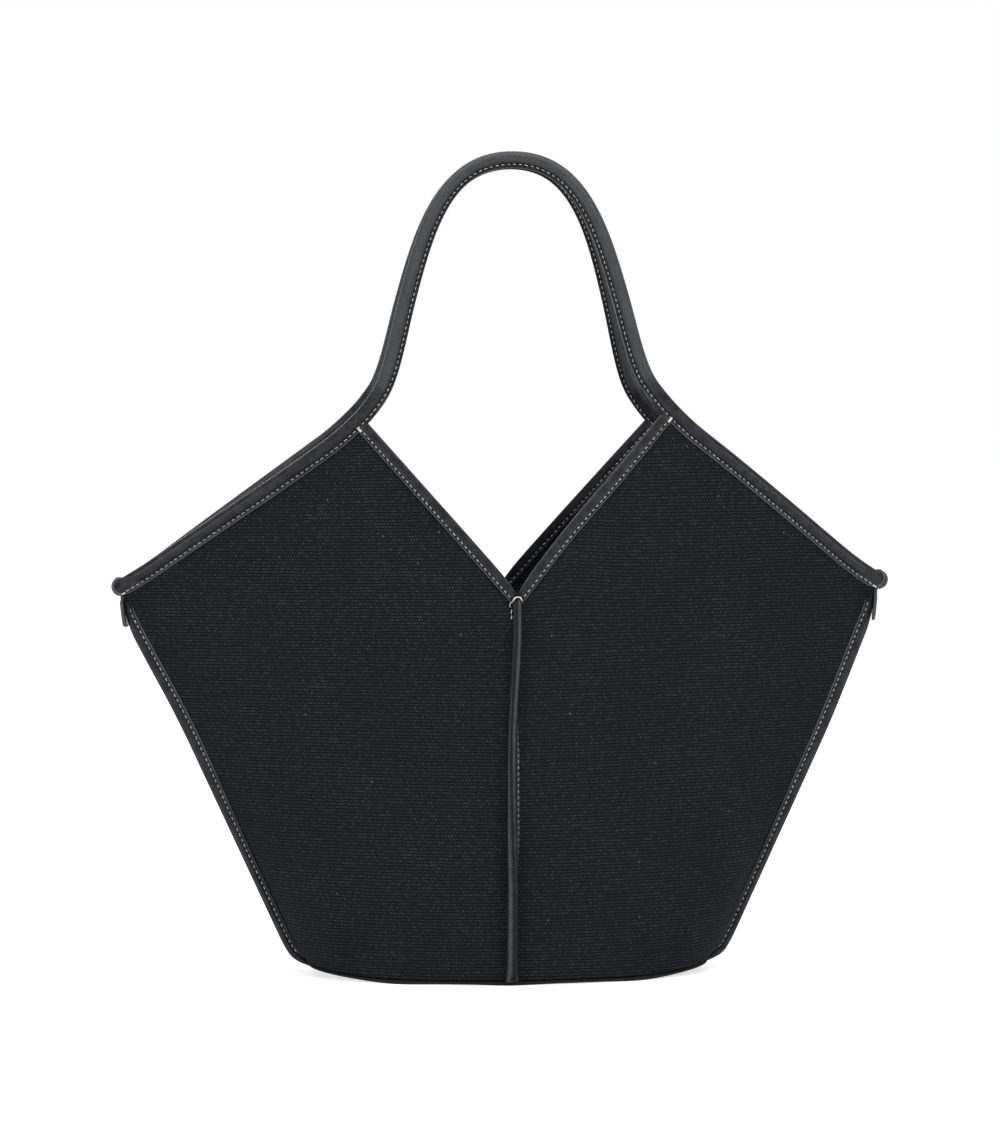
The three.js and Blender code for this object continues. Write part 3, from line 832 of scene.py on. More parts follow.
@dataclass(frozen=True)
class Wall:
    """Middle of the canvas of the front right quarter: how far it stands out to the front at x, z."""

    base_half_length: float = 116.0
    base_half_depth: float = 57.0
    base_flat_half: float = 64.0
    base_end_lift: float = 4.0
    foot: float = 3.15
    notch_height: float = 224.5
    notch_half_depth: float = 66.0
    belly: float = 5.0
    round_height: float = 150.0
    rim_power: float = 1.29
    seam_toe: float = 2.8
    seam_toe_height: float = 18.0
    seam_out: float = 0.6
    tip_half_width: float = 225.0
    tip_height: float = 220.4
    tip_lift: float = 3.0
    tip_lift_length: float = 30.0
    tip_overhang: float = 5.5
    tip_out: float = 3.85
    tip_splay: float = 0.22
    tip_ease: float = 3.0
    corner_hold: float = 7.3
    corner_reach: float = 10.5
    hinge_half_spread: float = 82.5
    peak_height: float = 331.4
    peak_lift: float = 4.8
    peak_lift_length: float = 25.0
    flange_depth: float = 6.3
    notch_setback: float = 0.7
    search_before: float = 10.0
    search_after: float = 20.0
    search_steps: int = 600

    @property
    def rail_slope(self) -> float:
        """Fall of the straight part of the top edge."""
        drop = self.peak_height - self.peak_lift - self.tip_height
        return drop / (self.tip_half_width - self.hinge_half_spread)

    def rail_height(self, x: Number) -> Array:
        """Height of the rolled top edge's middle.

        Args:
            x: Distance across from the bag's middle.

        Returns:
            The height at each place.
        """
        peak = np.maximum(0.0, 1.0 - (x - self.hinge_half_spread) / self.peak_lift_length) ** 2
        tip = np.maximum(0.0, 1.0 - (self.tip_half_width - x) / self.tip_lift_length) ** 2
        straight = self.peak_height - self.peak_lift - self.rail_slope * (x - self.hinge_half_spread)
        return straight + self.peak_lift * peak + self.tip_lift * tip

    def rail_angle(self, x: Number) -> Array:
        """Slope of the rolled top edge below the horizontal, in radians."""
        step = 0.05
        return np.arctan((self.rail_height(x - step) - self.rail_height(x + step)) / (2.0 * step))

    def under_rail(self, x: Array, depth: Number) -> tuple[Array, Array]:
        """Place at a depth square to the top edge, as x and z."""
        angle = self.rail_angle(x)
        return x - depth * np.sin(angle), self.rail_height(x) - depth * np.cos(angle)

    def base_lift(self, x: Number) -> Array:
        """How far the base rises towards its ends."""
        past = (np.abs(x) - self.base_flat_half) / (self.base_half_length - self.base_flat_half)
        return self.base_end_lift * np.maximum(0.0, past) ** 2

    def seam_x(self, z: Number) -> Array:
        """Place of the side seam at a height.

        Args:
            z: Height above the floor.

        Returns:
            The distance across from the bag's middle.
        """
        foot = self.base_end_lift + self.foot
        top = self.tip_half_width - self.tip_overhang
        slope = (top - self.base_half_length - self.seam_toe) / (self.rail_height(top) - foot)
        toe = np.maximum(0.0, 1.0 - (z - foot) / self.seam_toe_height) ** 2
        return self.base_half_length + self.seam_toe + slope * (z - foot) - self.seam_toe * toe

    def body_out(self, x: Array, z: Array) -> Array:
        """How far the belly of the bag stands out, oval at the base and boat shaped at the rim.

        Args:
            x: Distance across from the bag's middle.
            z: Height above the floor.

        Returns:
            The distance from the middle plane.
        """
        t = z / self.notch_height
        half = lerp(self.base_half_depth, self.notch_half_depth, t) + self.belly * 4.0 * t * (1.0 - t)
        boat = ease(z, 0.0, self.round_height)
        rest = 1.0 - (np.abs(x) / self.seam_x(z)) ** lerp(2.0, self.rim_power, boat)
        return self.seam_out + half * np.sign(rest) * np.abs(rest) ** (1.0 / lerp(2.0, 1.0, boat))

    def rail_out(self, x: Array) -> Array:
        """How far the rolled top edge stands out."""
        edge = self.body_out(x, self.rail_height(x))
        beside = self.tip_out + self.tip_splay * (self.tip_half_width - x)
        return (edge + beside + np.hypot(edge - beside, self.tip_ease)) / 2.0

    def out(self, x: Array, z: Array) -> Array:
        """How far the canvas stands out, held by the rail along the top edge."""
        pull = fade(self.rail_depth(x, z), self.corner_hold, self.corner_reach)
        return self.body_out(x, z) + pull * (self.rail_out(x) - self.body_out(x, self.rail_height(x)))

    def off(self, x: Array, z: Array, height: Number = 0.0) -> Array:
        """Points a height off the canvas' middle, towards the outside.

        Args:
            x: Distance across from the bag's middle.
            z: Height above the floor.
            height: Height off the canvas' middle.

        Returns:
            One point for each place.
        """
        step = 0.2
        fall_x = (self.out(x + step, z) - self.out(x - step, z)) / (2.0 * step)
        fall_z = (self.out(x, z + step) - self.out(x, z - step)) / (2.0 * step)
        normal = unit(np.stack([-fall_x, -np.ones_like(fall_x), -fall_z], axis=-1))
        base = np.stack(np.broadcast_arrays(x, -self.out(x, z), z), axis=-1)
        return base + normal * np.asarray(height)[..., None]

    @property
    def notch_slope(self) -> float:
        """Rise of the notch's edge from the middle to the handle root.

        Returns:
            The rise for each millimetre across.
        """
        before = self.hinge_half_spread - self.search_before
        x = np.linspace(before, self.hinge_half_spread + self.search_after, self.search_steps)
        under_x, under_z = self.under_rail(x, self.flange_depth)
        root = self.hinge_half_spread + self.notch_setback
        return float((np.interp(root, under_x, under_z) - self.notch_height) / root)

    def notch_z(self, x: Number, depth: float = 0.0) -> Array:
        """Height of the line at a depth inside the notch's edge."""
        slope = self.notch_slope
        return self.notch_height + slope * x - depth * math.hypot(1.0, slope)

    def rail_depth(self, x: Array, z: Array) -> Array:
        """Distance of a place under the top edge."""
        return (self.rail_height(x) - z) * np.cos(self.rail_angle(x))


WALL = Wall()


# Sewing

@dataclass(frozen=True)
class Needle:
    """Saddle stitches that lie on a surface with their ends pulled in."""

    pitch: float = 3.4
    reach: float = 1.15
    radius: float = 0.29
    lift: float = 0.1
    sink: float = 0.5
    slant: float = 0.09
    slant_scatter: float = 0.03
    place_scatter: float = 0.06
    size_scatter: float = 0.05
    look: float = 0.6
    shoulder_sink: float = 0.1
    strand_shift: float = 7.0
    sides: int = 6

    def sew(self, net: Net, line: Array, normals: Array, seed: int,
            start: float = 0.0, stop: float = 0.0) -> None:
        """Add stitches along a line.

        Args:
            net: Where the stitches go.
            line: Points on the surface.
            normals: The surface's outward normal at each point.
            seed: Seed of the small changes from stitch to stitch.
            start: Length left bare at the line's start.
            stop: Length left bare at its end.
        """
        lengths = arc_length(line)
        sewn = lengths[-1] - start - stop
        count = max(1, round(sewn / self.pitch))
        chance = np.random.default_rng(seed)
        places = start + (np.arange(count) + 0.5) * sewn / count
        places = places + chance.normal(0.0, self.place_scatter, count)
        run = unit(along(line, lengths, places + self.look) - along(line, lengths, places - self.look))
        up = unit(along(normals, lengths, places))
        across = unit(np.cross(run, up))
        run = unit(run + across * chance.normal(self.slant, self.slant_scatter, (count, 1)))
        across = np.cross(run, up)
        size = chance.normal(1.0, self.size_scatter, count)
        self.lay(net, along(line, lengths, places), run, across, up, size)

    def lay(self, net: Net, middle: Array, run: Array, across: Array, up: Array,
            size: Array) -> None:
        """Add stitches at given places.

        Args:
            net: Where the stitches go.
            middle: Middle of each stitch on the surface.
            run: Direction of each stitch.
            across: Direction square to it on the surface.
            up: Outward normal at each stitch.
            size: Size of each stitch compared with the usual one.
        """
        place = np.array([-1.0, -0.78, -0.35, 0.35, 0.78, 1.0]) * self.reach
        rising = [-self.sink, -self.shoulder_sink, self.lift]
        height = np.array(rising + rising[::-1])
        width = np.array([0.75, 0.95, 1.0, 1.0, 0.95, 0.75]) * self.radius
        turn = np.arange(self.sides) * 2.0 * math.pi / self.sides
        size = size[:, None, None, None]
        rings = (
            middle[:, None, None]
            + size * place[:, None, None] * run[:, None, None]
            + (height[:, None, None] + width[:, None, None] * np.sin(turn)[:, None]) * up[:, None, None]
            + width[:, None, None] * np.cos(turn)[:, None] * across[:, None, None]
        )
        twist = place[:, None] + turn * self.radius
        strand = middle[:, None, None, 0] * self.strand_shift
        cloth = np.stack(np.broadcast_arrays(twist, strand, size[..., 0]), axis=-1)
        net.tube(rings, 0.0, cloth)


NEEDLE = Needle()


def thread_bow(net: Net, line: Array, radius: float, sides: int = 8) -> None:
    """Add one thick thread along a line.

    Args:
        net: Where it goes.
        line: Points along its middle.
        radius: Its radius.
        sides: Sides of its section.
    """
    aside = np.array([0.13, 0.31, 0.94])
    end_share = 0.55
    run = unit(np.gradient(line, axis=0))
    side = unit(np.cross(run, aside))
    up = np.cross(side, run)
    turn = np.arange(sides) * 2.0 * math.pi / sides
    ends = np.ones(len(line))
    ends[[0, -1]] = end_share
    ring = np.cos(turn)[:, None] * side[:, None] + np.sin(turn)[:, None] * up[:, None]
    net.tube(line[:, None] + ring * (radius * ends)[:, None, None])


def bar_tack(net: Net, middle: Array, run: Array, up: Array, length: float,
             width: float) -> None:
    """Add a bar tack: thick stitches laid side by side.

    Args:
        net: Where it goes.
        middle: Its middle on the surface.
        run: Direction of the bar.
        up: Outward normal of the surface.
        length: Length of the bar.
        width: Width of the bar.
    """
    strands = 3
    fullness = 0.62
    crown = 0.3
    sink = 0.1
    across = unit(np.cross(run, up))
    turn = np.linspace(-1.0, 1.0, 9)[:, None]
    for k in range(strands):
        share = (k + 0.5) / strands - 0.5
        height = crown * (1.0 - turn**4) - sink - abs(share) * crown
        bow = middle + run * (turn * length / 2.0) + across * (share * width) + up * height
        thread_bow(net, bow, width / strands * fullness)


# The canvas

@dataclass(frozen=True)
class Pucker:
    """Soft ridge or dip in the canvas that runs up from its foot."""

    foot_x: float
    lean: float
    length: float
    height: float
    width: float = 6.0
    start_span: tuple = (3.0, 14.0)
    full_share: float = 0.4

    def lift(self, x: Array, z: Array) -> Array:
        """How far it lifts the canvas at x, z.

        Args:
            x: Distance across from the bag's middle.
            z: Height above the floor.

        Returns:
            The lift at each place.
        """
        up = (z - WALL.foot) * math.cos(self.lean) - (x - self.foot_x) * math.sin(self.lean)
        aside = (x - self.foot_x) * math.cos(self.lean) + (z - WALL.foot) * math.sin(self.lean)
        ridge = np.exp(-((aside / self.width) ** 2)) * ease(up, *self.start_span)
        return self.height * ridge * fade(up, self.full_share * self.length, self.length)


@dataclass
class CanvasBody:
    """Four canvas panels with their seam allowances turned out and their feet turned in."""

    thickness: float = 0.9
    notch_edge: float = 1.2
    rail_edge: float = 2.9
    turn_in: float = 8.0
    foot_round: float = 1.6
    foot_turns: tuple = ((1.0, 1.0), (0.3, 0.6))
    allowance: float = 5.5
    least_allowance: float = 0.15
    foot_allowance: float = 0.4
    side_stop: float = 8.0
    trim: float = 4.3
    trim_length: float = 13.0
    side_foot: float = 9.0
    slack: float = 1.1
    middle_span: tuple = (0.02, 0.3)
    side_span: tuple = (0.72, 0.98)
    foot_span: tuple = (0.0, 0.2)
    rim_span: tuple = (0.7, 0.97)
    long_wave: tuple = (31.0, 57.0)
    cross_wave: tuple = (64.0, 43.0)
    cross_share: float = 0.7
    cross_shift: float = 1.3
    puckers: tuple = (
        Pucker(103.0, 0.12, 64.0, 2.0), Pucker(91.0, -0.1, 46.0, -1.4), Pucker(82.0, 0.2, 40.0, 1.1),
    )
    notch_columns: int = 36
    rail_columns: int = 50
    rows: int = 70
    even_share: float = 0.55
    close_share: float = 0.45
    flat_steps: int = 25
    rim_steps: int = 4000

    def rim(self) -> Array:
        """Upper edge of the panel as x and z, from the middle seam over the handle root to the corner.

        Returns:
            One x and z for each column of the panel.
        """
        before = WALL.hinge_half_spread - WALL.search_before
        x = np.linspace(before, WALL.tip_half_width, self.rim_steps)
        rail_x, rail_z = WALL.under_rail(x, self.rail_edge)
        over = WALL.notch_z(rail_x, self.notch_edge) - rail_z
        corner = np.array([np.interp(0.0, over, rail_x), np.interp(0.0, over, rail_z)])
        past = rail_x - WALL.seam_x(rail_z)
        tip = float(np.interp(0.0, past, x))
        start = float(np.interp(0.0, over, x))
        notch_x = np.linspace(WALL.seam_out, corner[0], self.notch_columns)
        notch = np.stack([notch_x, WALL.notch_z(notch_x, self.notch_edge)], axis=-1)
        top = np.stack(WALL.under_rail(np.linspace(start, tip, self.rail_columns), self.rail_edge), axis=-1)
        return np.concatenate([notch[:-1], top])

    def heights(self) -> Array:
        """Shares of the way from the foot to the rim, close together at both ends."""
        t = np.linspace(0.0, 1.0, self.rows)
        return self.even_share * t + self.close_share * ease(t, 0.0, 1.0)

    def net(self) -> tuple[Array, Array]:
        """Middle of the panel.

        Returns:
            The points by row and column, and their places on the flat cloth.
        """
        rim = self.rim()
        turn = rim[:, 0] / rim[-1, 0] * math.pi / 2.0
        foot_reach = np.maximum(np.sin(turn), WALL.seam_out / WALL.base_half_length)
        foot_z = WALL.foot + WALL.base_lift(WALL.base_half_length * foot_reach) + self.foot_round
        share = self.heights()[:, None]
        z = lerp(foot_z, rim[:, 1], share)
        reach = lerp(foot_reach, rim[:, 0] / WALL.seam_x(rim[:, 1]), share)
        x = reach * WALL.seam_x(z)
        cloth = self.flat(x, z)
        points = WALL.off(x, z) + self.undulation(x, z, reach, share)
        wall = self.with_foot(points)
        drops = (self.turn_in, self.foot_round, self.foot_round / 2.0)
        turned = np.stack([cloth[0] - [0.0, drop, 0.0] for drop in drops])
        return self.with_allowances(wall, np.concatenate([turned, cloth]))

    def flat(self, x: Array, z: Array) -> Array:
        """Place on the flat cloth: length round the bag from its middle, and height.

        Args:
            x: Distance across from the bag's middle.
            z: Height above the floor.

        Returns:
            One place for each point.
        """
        steps = np.linspace(0.0, 1.0, self.flat_steps)[:, None, None]
        line = np.stack([steps * x, -WALL.body_out(steps * x, z[None])], axis=-1)
        length = np.linalg.norm(np.diff(line, axis=0), axis=-1).sum(axis=0)
        return np.stack([length, z, np.zeros_like(z)], axis=-1)

    def undulation(self, x: Array, z: Array, reach: Array, share: Array) -> Array:
        """Soft waves of the cloth away from its sewn edges.

        Args:
            x: Place to the right of each point.
            z: Height of each point.
            reach: Share of the way from the middle seam to the side seam.
            share: Share of the way from the foot to the rim.

        Returns:
            How far each point moves.
        """
        held = ease(reach, *self.middle_span) * fade(reach, *self.side_span)
        held = held * ease(share, *self.foot_span) * fade(share, *self.rim_span)
        wave = np.sin(x / self.long_wave[0] + z / self.long_wave[1])
        cross = np.sin(z / self.cross_wave[1] - x / self.cross_wave[0] + self.cross_shift)
        lift = self.slack * held * (wave + self.cross_share * cross) * 0.5
        for pucker in self.puckers:
            lift = lift + pucker.lift(x, z)
        return lift[..., None] * -BACK

    def with_foot(self, points: Array) -> Array:
        """The rows with a rounded, turned-in foot below them.

        Args:
            points: Points of the panel by row and column.

        Returns:
            All rows, from the foot up.
        """
        first = points[0]
        rows = []
        for inward, drop in ((self.turn_in, 1.0), *self.foot_turns):
            share = np.array([1.0 - inward / WALL.base_half_length, 1.0 - inward / WALL.base_half_depth, 1.0])
            rows.append(first * share - self.foot_round * drop * UP)
        return np.concatenate([np.stack(rows), points])

    def with_allowances(self, points: Array, cloth: Array) -> tuple[Array, Array]:
        """The columns with the seam allowances that stand out inside the bindings.

        Args:
            points: Points of the panel by row and column, with its foot.
            cloth: Their places on the flat cloth.

        Returns:
            Both with a column added at either side.
        """
        foot_rows = 1 + len(self.foot_turns)
        middle_run = np.gradient(points[:, 0], axis=0)
        middle_out = unit(np.stack([0.0 * middle_run[:, 0], -middle_run[:, 2], middle_run[:, 1]], axis=-1))
        middle = points[:, 0] + middle_out * self.allowance
        middle[:foot_rows] = points[:foot_rows, 0] - self.foot_allowance * BACK
        side_run = np.gradient(points[:, -1], axis=0)
        side_out = unit(np.stack([side_run[:, 2], 0.0 * side_run[:, 0], -side_run[:, 0]], axis=-1))
        below = points[-1, -1, 2] - self.side_stop - points[:, -1, 2]
        width = self.allowance - self.trim * fade(below, 0.0, self.trim_length)
        width = np.where(below < 0.0, self.least_allowance, width)
        rise = points[:, -1, 2] - points[foot_rows, -1, 2]
        width = np.maximum(width * ease(rise, 0.0, self.side_foot), self.least_allowance)
        side = points[:, -1] + side_out * width[:, None]
        step = self.allowance * RIGHT
        net = np.concatenate([middle[:, None], points, side[:, None]], axis=1)
        flat = np.concatenate([cloth[:, :1] - step, cloth, cloth[:, -1:] + step], axis=1)
        return net, flat

    def build(self, finishes: Finishes) -> None:
        """Make and dress the four panels."""
        points, cloth = self.net()
        for quarter in Quarter:
            net = Net()
            net.shell(quarter.place(points), self.thickness, cloth * np.array([quarter.value[1], 1.0, 1.0]))
            panel = net.piece(f"canvas_{quarter.label}", finishes.canvas, "canvas")
            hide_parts(f"{quarter.label}_panel")
            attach(panel, "bag")


# Sections of folded leather

def cut_edge(end: float, half: float, cut: float, clear: float) -> list:
    """Rounded cut edge of a folded strip's outer face.

    Args:
        end: Depth of the edge.
        half: Half of the thickness over both legs.
        cut: Radius of the edge.
        clear: How many radii from the edge its wear ends.

    Returns:
        Depth, place to the front and wear of each point.
    """
    eased = 0.3 * cut
    return [(end, half - cut, 1.0), (end - eased, half - eased, 1.0), (end - cut, half, 0.9),
            (end - clear * cut, half, 0.0)]


def closed_section(outer: list, inner: list) -> tuple[Array, Array]:
    """Section of a folded strip from the two faces of its front leg.

    Args:
        outer: Depth, place to the front and mark of points on the outer face, from the edge to the fold:
            paler for cut edges and painted highlights, below 0 for painted shade.
        inner: The same on the inner face.

    Returns:
        Points as depth and place to the front, and the mark of each point for pale cut edges, painted
        highlights and painted shade.
    """
    outside = np.array(outer)
    inside = np.array(inner)
    flip = np.array([1.0, -1.0, 1.0])
    loop = np.concatenate([outside, outside[-2::-1] * flip, inside * flip, inside[-2::-1]])
    return loop[:, :2], loop[:, 2]


# The rolled edge and handles

@dataclass
class RolledEdge:
    """Leather strip rolled round a cord: down one top edge, over the handle arch and down the other."""

    roll_radius: float = 3.65
    bore_radius: float = 2.8
    cord_radius: float = 2.5
    rail_leg: float = 1.65
    arch_leg: float = 1.0
    rail_slot: float = 0.75
    arch_slot: float = 0.06
    fillet: float = 0.5
    stitch_depth: float = 4.4
    groove: float = 0.3
    groove_half: float = 0.7
    cut_round: float = 0.2
    cut_clear: float = 2.2
    tip_radius: float = 5.6
    tip_centre: float = 0.2
    neck: float = 3.0
    tip_flat: float = 0.42
    tip_press: float = 17.0
    press_start: float = 0.9
    flat_gain: float = 1.6
    flat_least: float = 0.25
    tip_rim: float = 1.2
    rim_soft: float = 0.25
    rim_fade: float = 4.0
    round_start: float = 0.86
    round_span: float = 0.16
    round_least: float = 0.05
    round_fade: float = 2.0
    front_reach: float = -1.8
    back_reach: float = 0.4
    handle_rise: float = 145.6
    shoulder_half_width: float = 61.8
    shoulder_rise: float = 63.0
    shoulder_lean: float = 14.4
    root_pull: float = 16.5
    leg_pull: float = 26.0
    shoulder_pull: float = 43.0
    crown_pull: float = 39.5
    lean: float = 16.3248
    spacing: float = 1.3
    least_spacing: float = 0.12
    first_turn: float = 0.12
    tip_rings: int = 12
    crown_rings: tuple = (0.9, 0.55, 0.25, 0.0)
    crown_seam: float = 0.035
    crown_seam_half: float = 0.4
    rail_steps: int = 400
    arch_steps: int = 160
    flange_probe: float = 4.0
    root_ease: float = 12.0
    ease_steps: int = 13
    root_cover: float = 5.0
    arch_wear: float = 0.25
    arch_shade: float = 0.7
    arch_highlight: float = 0.5
    bend_start: float = -1.5
    bend_end: float = 30.0
    blend_before: float = 2.0
    blend_legs: float = 14.0
    cord_sides: int = 12
    stitch_stop: float = 5.6
    seed: int = 11

    def arch(self) -> tuple[Array, Array]:
        """Right half of the handle arch in its own plane.

        Returns:
            Points from the root to the crown as x and rise, and the directions along them.
        """
        angle = float(WALL.rail_angle(WALL.hinge_half_spread))
        root = np.array([WALL.hinge_half_spread, 0.0])
        root_run = np.array([-math.cos(angle), math.sin(angle)])
        tilt = math.radians(self.shoulder_lean)
        shoulder = np.array([self.shoulder_half_width, self.shoulder_rise])
        run = np.array([-math.sin(tilt), math.cos(tilt)])
        crown = np.array([0.0, self.handle_rise])
        high = np.array([self.crown_pull, self.handle_rise])
        legs = (
            (root, root + root_run * self.root_pull, shoulder - run * self.leg_pull, shoulder),
            (shoulder, shoulder + run * self.shoulder_pull, high, crown),
        )
        t = np.linspace(0.0, 1.0, self.arch_steps)[:, None]
        u = 1 - t
        parts = [a * u**3 + 3 * b * t * u**2 + 3 * c * t * t * u + d * t**3 for a, b, c, d in legs]
        line = np.concatenate([parts[0][:-1], parts[1]])
        return line, unit(np.gradient(line, axis=0))

    def frames(self, reach: float) -> tuple[Array, Array, Array, Array]:
        """Sections along the right half, from the tip over the root to the crown.

        Args:
            reach: Extra length of the tip.

        Returns:
            Middle of the roll, direction to the flange, direction to the front, and length from the tip.
        """
        x = np.linspace(WALL.tip_half_width + reach, WALL.hinge_half_spread, self.rail_steps)
        rail = WALL.off(x, WALL.rail_height(x))
        deep = WALL.off(*WALL.under_rail(x, self.flange_probe))
        front = WALL.off(x, WALL.rail_height(x), 1.0) - rail
        line, run = self.arch()
        tilt = math.radians(self.lean)
        rise = np.array([0.0, math.sin(tilt), math.cos(tilt)])
        root = np.array([0.0, -float(WALL.rail_out(WALL.hinge_half_spread)), WALL.peak_height])
        arch = root + line[:, :1] * RIGHT + line[:, 1:] * rise
        inward = -run[:, 1:] * RIGHT + run[:, :1] * rise
        face = np.broadcast_to(np.array([0.0, -math.cos(tilt), math.sin(tilt)]), arch.shape)
        middle = np.concatenate([rail, arch[1:]])
        flange = np.concatenate([unit(deep - rail), inward[1:]])
        side = np.concatenate([front, face[1:]])
        lengths = arc_length(middle)
        root_at = lengths[len(rail) - 1]
        turns = np.linspace(self.first_turn, math.pi / 2.0, self.tip_rings)
        places = np.unique(np.concatenate([
            self.tip_radius * (1.0 - np.cos(turns)),
            np.arange(self.tip_radius, lengths[-1], self.spacing),
            lengths[-1] - np.array(self.crown_rings),
        ]))
        places = places[np.concatenate([np.diff(places) > self.least_spacing, [True]])]
        near = np.exp(-(((places - root_at) / self.root_ease) ** 2))[:, None]
        parts = []
        for values in (middle, flange, side):
            plain = along(values, lengths, places)
            shifts = np.linspace(-self.root_ease, self.root_ease, self.ease_steps)
            eased = np.mean([along(values, lengths, places + s) for s in shifts], axis=0)
            parts.append(lerp(plain, eased, near))
        middle, flange, side = parts
        run = unit(np.gradient(middle, axis=0))
        side = unit(side - run * np.sum(side * run, axis=-1, keepdims=True))
        flange_square = np.cross(run, side)
        flange = flange_square * np.sign(np.sum(flange_square * flange, axis=-1, keepdims=True))
        return middle, flange, side, places

    def keyhole(self, leg: float, slot: float) -> tuple[Array, Array]:
        """Section of the folded strip.

        Args:
            leg: Half of the thickness over the two legs.
            slot: Half of the gap between them.

        Returns:
            Points as depth towards the flange and place to the front, and the mark of each point for pale cut
            edges and painted shade.
        """
        end = WALL.flange_depth
        foot = math.sqrt((self.roll_radius + self.fillet) ** 2 - (leg + self.fillet) ** 2)
        meet = math.atan2(leg + self.fillet, foot)
        # Values below 0 paint shade into the groove at the stitches and into the crease where the roll meets
        # the flange.
        outer = cut_edge(end, leg, self.cut_round, self.cut_clear) + [
            (self.stitch_depth + self.groove_half, leg, 0.0),
            (self.stitch_depth + 0.4 * self.groove_half, leg - 0.75 * self.groove, -0.6),
            (self.stitch_depth, leg - self.groove, -1.0),
        ]
        bends = np.linspace(math.pi * 1.5, math.pi + meet, 5)
        outer += [
            (foot + self.fillet * math.cos(b), leg + self.fillet + self.fillet * math.sin(b), dark)
            for b, dark in zip(bends, (-1.0, -0.8, -0.5, -0.2, 0.0))
        ]
        turns = np.linspace(meet, math.pi, 16)[1:]
        outer += [(self.roll_radius * math.cos(b), self.roll_radius * math.sin(b), 0.0) for b in turns]
        mouth = math.asin(min(1.0, slot / self.bore_radius))
        bore = [
            (self.bore_radius * math.cos(b), self.bore_radius * math.sin(b), 0.0)
            for b in np.linspace(mouth, math.pi, 9)
        ]
        return closed_section(outer, [(end, slot, 1.0)] + bore)

    def arch_share(self, middle: Array, places: Array) -> tuple[float, Array]:
        """Where the arch begins.

        Args:
            middle: Middle of the roll at each section.
            places: Length of each section from the tip.

        Returns:
            Length of the root from the tip, and how far each section has changed from rail to arch.
        """
        root_at = float(np.interp(WALL.hinge_half_spread, middle[::-1, 0], places[::-1]))
        return root_at, ease(places, root_at - self.blend_before, root_at + self.blend_legs)

    def sections(self, reach: float) -> tuple[Array, Array]:
        """Rings of the right half, from the tip to the crown.

        Args:
            reach: Extra length of the tip.

        Returns:
            The rings' points and their marks for pale cut edges, painted highlights and painted shade.
        """
        middle, flange, side, places = self.frames(reach)
        root_at, to_arch = self.arch_share(middle, places)
        crown = places[-1] - places
        rings = []
        wear_and_light_rows = []
        for k, length in enumerate(places):
            loop, wear_and_light = self.keyhole(
                float(lerp(self.rail_leg, self.arch_leg, to_arch[k])),
                float(lerp(self.rail_slot, self.arch_slot, to_arch[k])),
            )
            loop = loop * (1.0 - self.crown_seam * math.exp(-((crown[k] / self.crown_seam_half) ** 2)))
            hidden = float(np.exp(-(((length - root_at + self.root_cover) / self.root_cover) ** 4)))
            shown = (1.0 - hidden) * lerp(1.0, self.arch_wear, to_arch[k])
            wear_and_light = np.where(wear_and_light > 0.0, wear_and_light * shown, wear_and_light)
            flange_face = (loop[:, 0] > self.stitch_depth) & (wear_and_light == 0.0)
            roll_face = (loop[:, 0] < self.stitch_depth) & (wear_and_light == 0.0)
            # Painted shadow on the arch's flange, under the overhanging roll.
            wear_and_light = np.where(flange_face, -self.arch_shade * to_arch[k], wear_and_light)
            # Painted highlight: the roll's face is painted paler along the handle arch.
            wear_and_light = np.where(roll_face, self.arch_highlight * to_arch[k], wear_and_light)
            loop, wear_and_light = self.press(loop, wear_and_light, float(length))
            rings.append(middle[k] + loop[:, :1] * flange[k] + loop[:, 1:] * side[k])
            wear_and_light_rows.append(wear_and_light)
        return np.array(rings), np.array(wear_and_light_rows)

    def press(self, loop: Array, wear_and_light: Array, length: float) -> tuple[Array, Array]:
        """Section near the tip, pressed flat and cut round.

        Args:
            loop: Points of the plain section.
            wear_and_light: Their marks for pale cut edges, painted highlights and painted shade.
            length: Distance from the tip.

        Returns:
            The pressed section and its marks, with the pale cut rim of the tip added.
        """
        if length > self.tip_press:
            return loop, wear_and_light
        half = (WALL.flange_depth + self.roll_radius) / 2.0
        centre = WALL.flange_depth - half
        circle = math.sqrt(max(0.0, self.tip_radius**2 - (self.tip_radius - length) ** 2))
        wide = circle if length < self.tip_radius else max(circle, half)
        pressed = ease(length, self.tip_radius * self.press_start, self.tip_press)
        thin = float(lerp(self.tip_flat, 1.0, pressed))
        depth = (loop[:, 0] - centre) * wide / half
        short = max(0.0, self.tip_radius - length)
        radius = np.hypot(depth, short)
        rim = self.tip_radius - self.tip_rim
        edge = ease(radius, rim - self.rim_soft, rim + self.rim_soft)
        edge = edge * float(fade(length, self.tip_radius, self.tip_radius + self.rim_fade))
        past = ((radius / self.tip_radius - self.round_start) / self.round_span).clip(0.0, 1.0)
        rounding = np.sqrt(np.clip(1.0 - past**2, self.round_least, 1.0))
        round_share = float(fade(length, self.tip_radius, self.tip_radius + self.round_fade))
        face = loop[:, 1] * thin
        flat = np.abs(face) * self.flat_gain + self.flat_least
        flat_face = np.sign(face) * np.minimum(flat, self.roll_radius * self.tip_flat)
        face = lerp(face, flat_face, float(fade(length, self.tip_radius, self.tip_press)))
        face = face * lerp(1.0, rounding, round_share)
        necked = ease(length, self.tip_radius, self.tip_radius + self.neck)
        seat = float(lerp(self.tip_centre, centre, necked))
        return np.stack([seat + depth, face], axis=-1), np.maximum(wear_and_light, edge)

    def mirrored(self, rows: Array) -> Array:
        """Rows of the right half followed by their mirror images from the crown on."""
        return np.concatenate([rows, rows[-2::-1] * MIRROR])

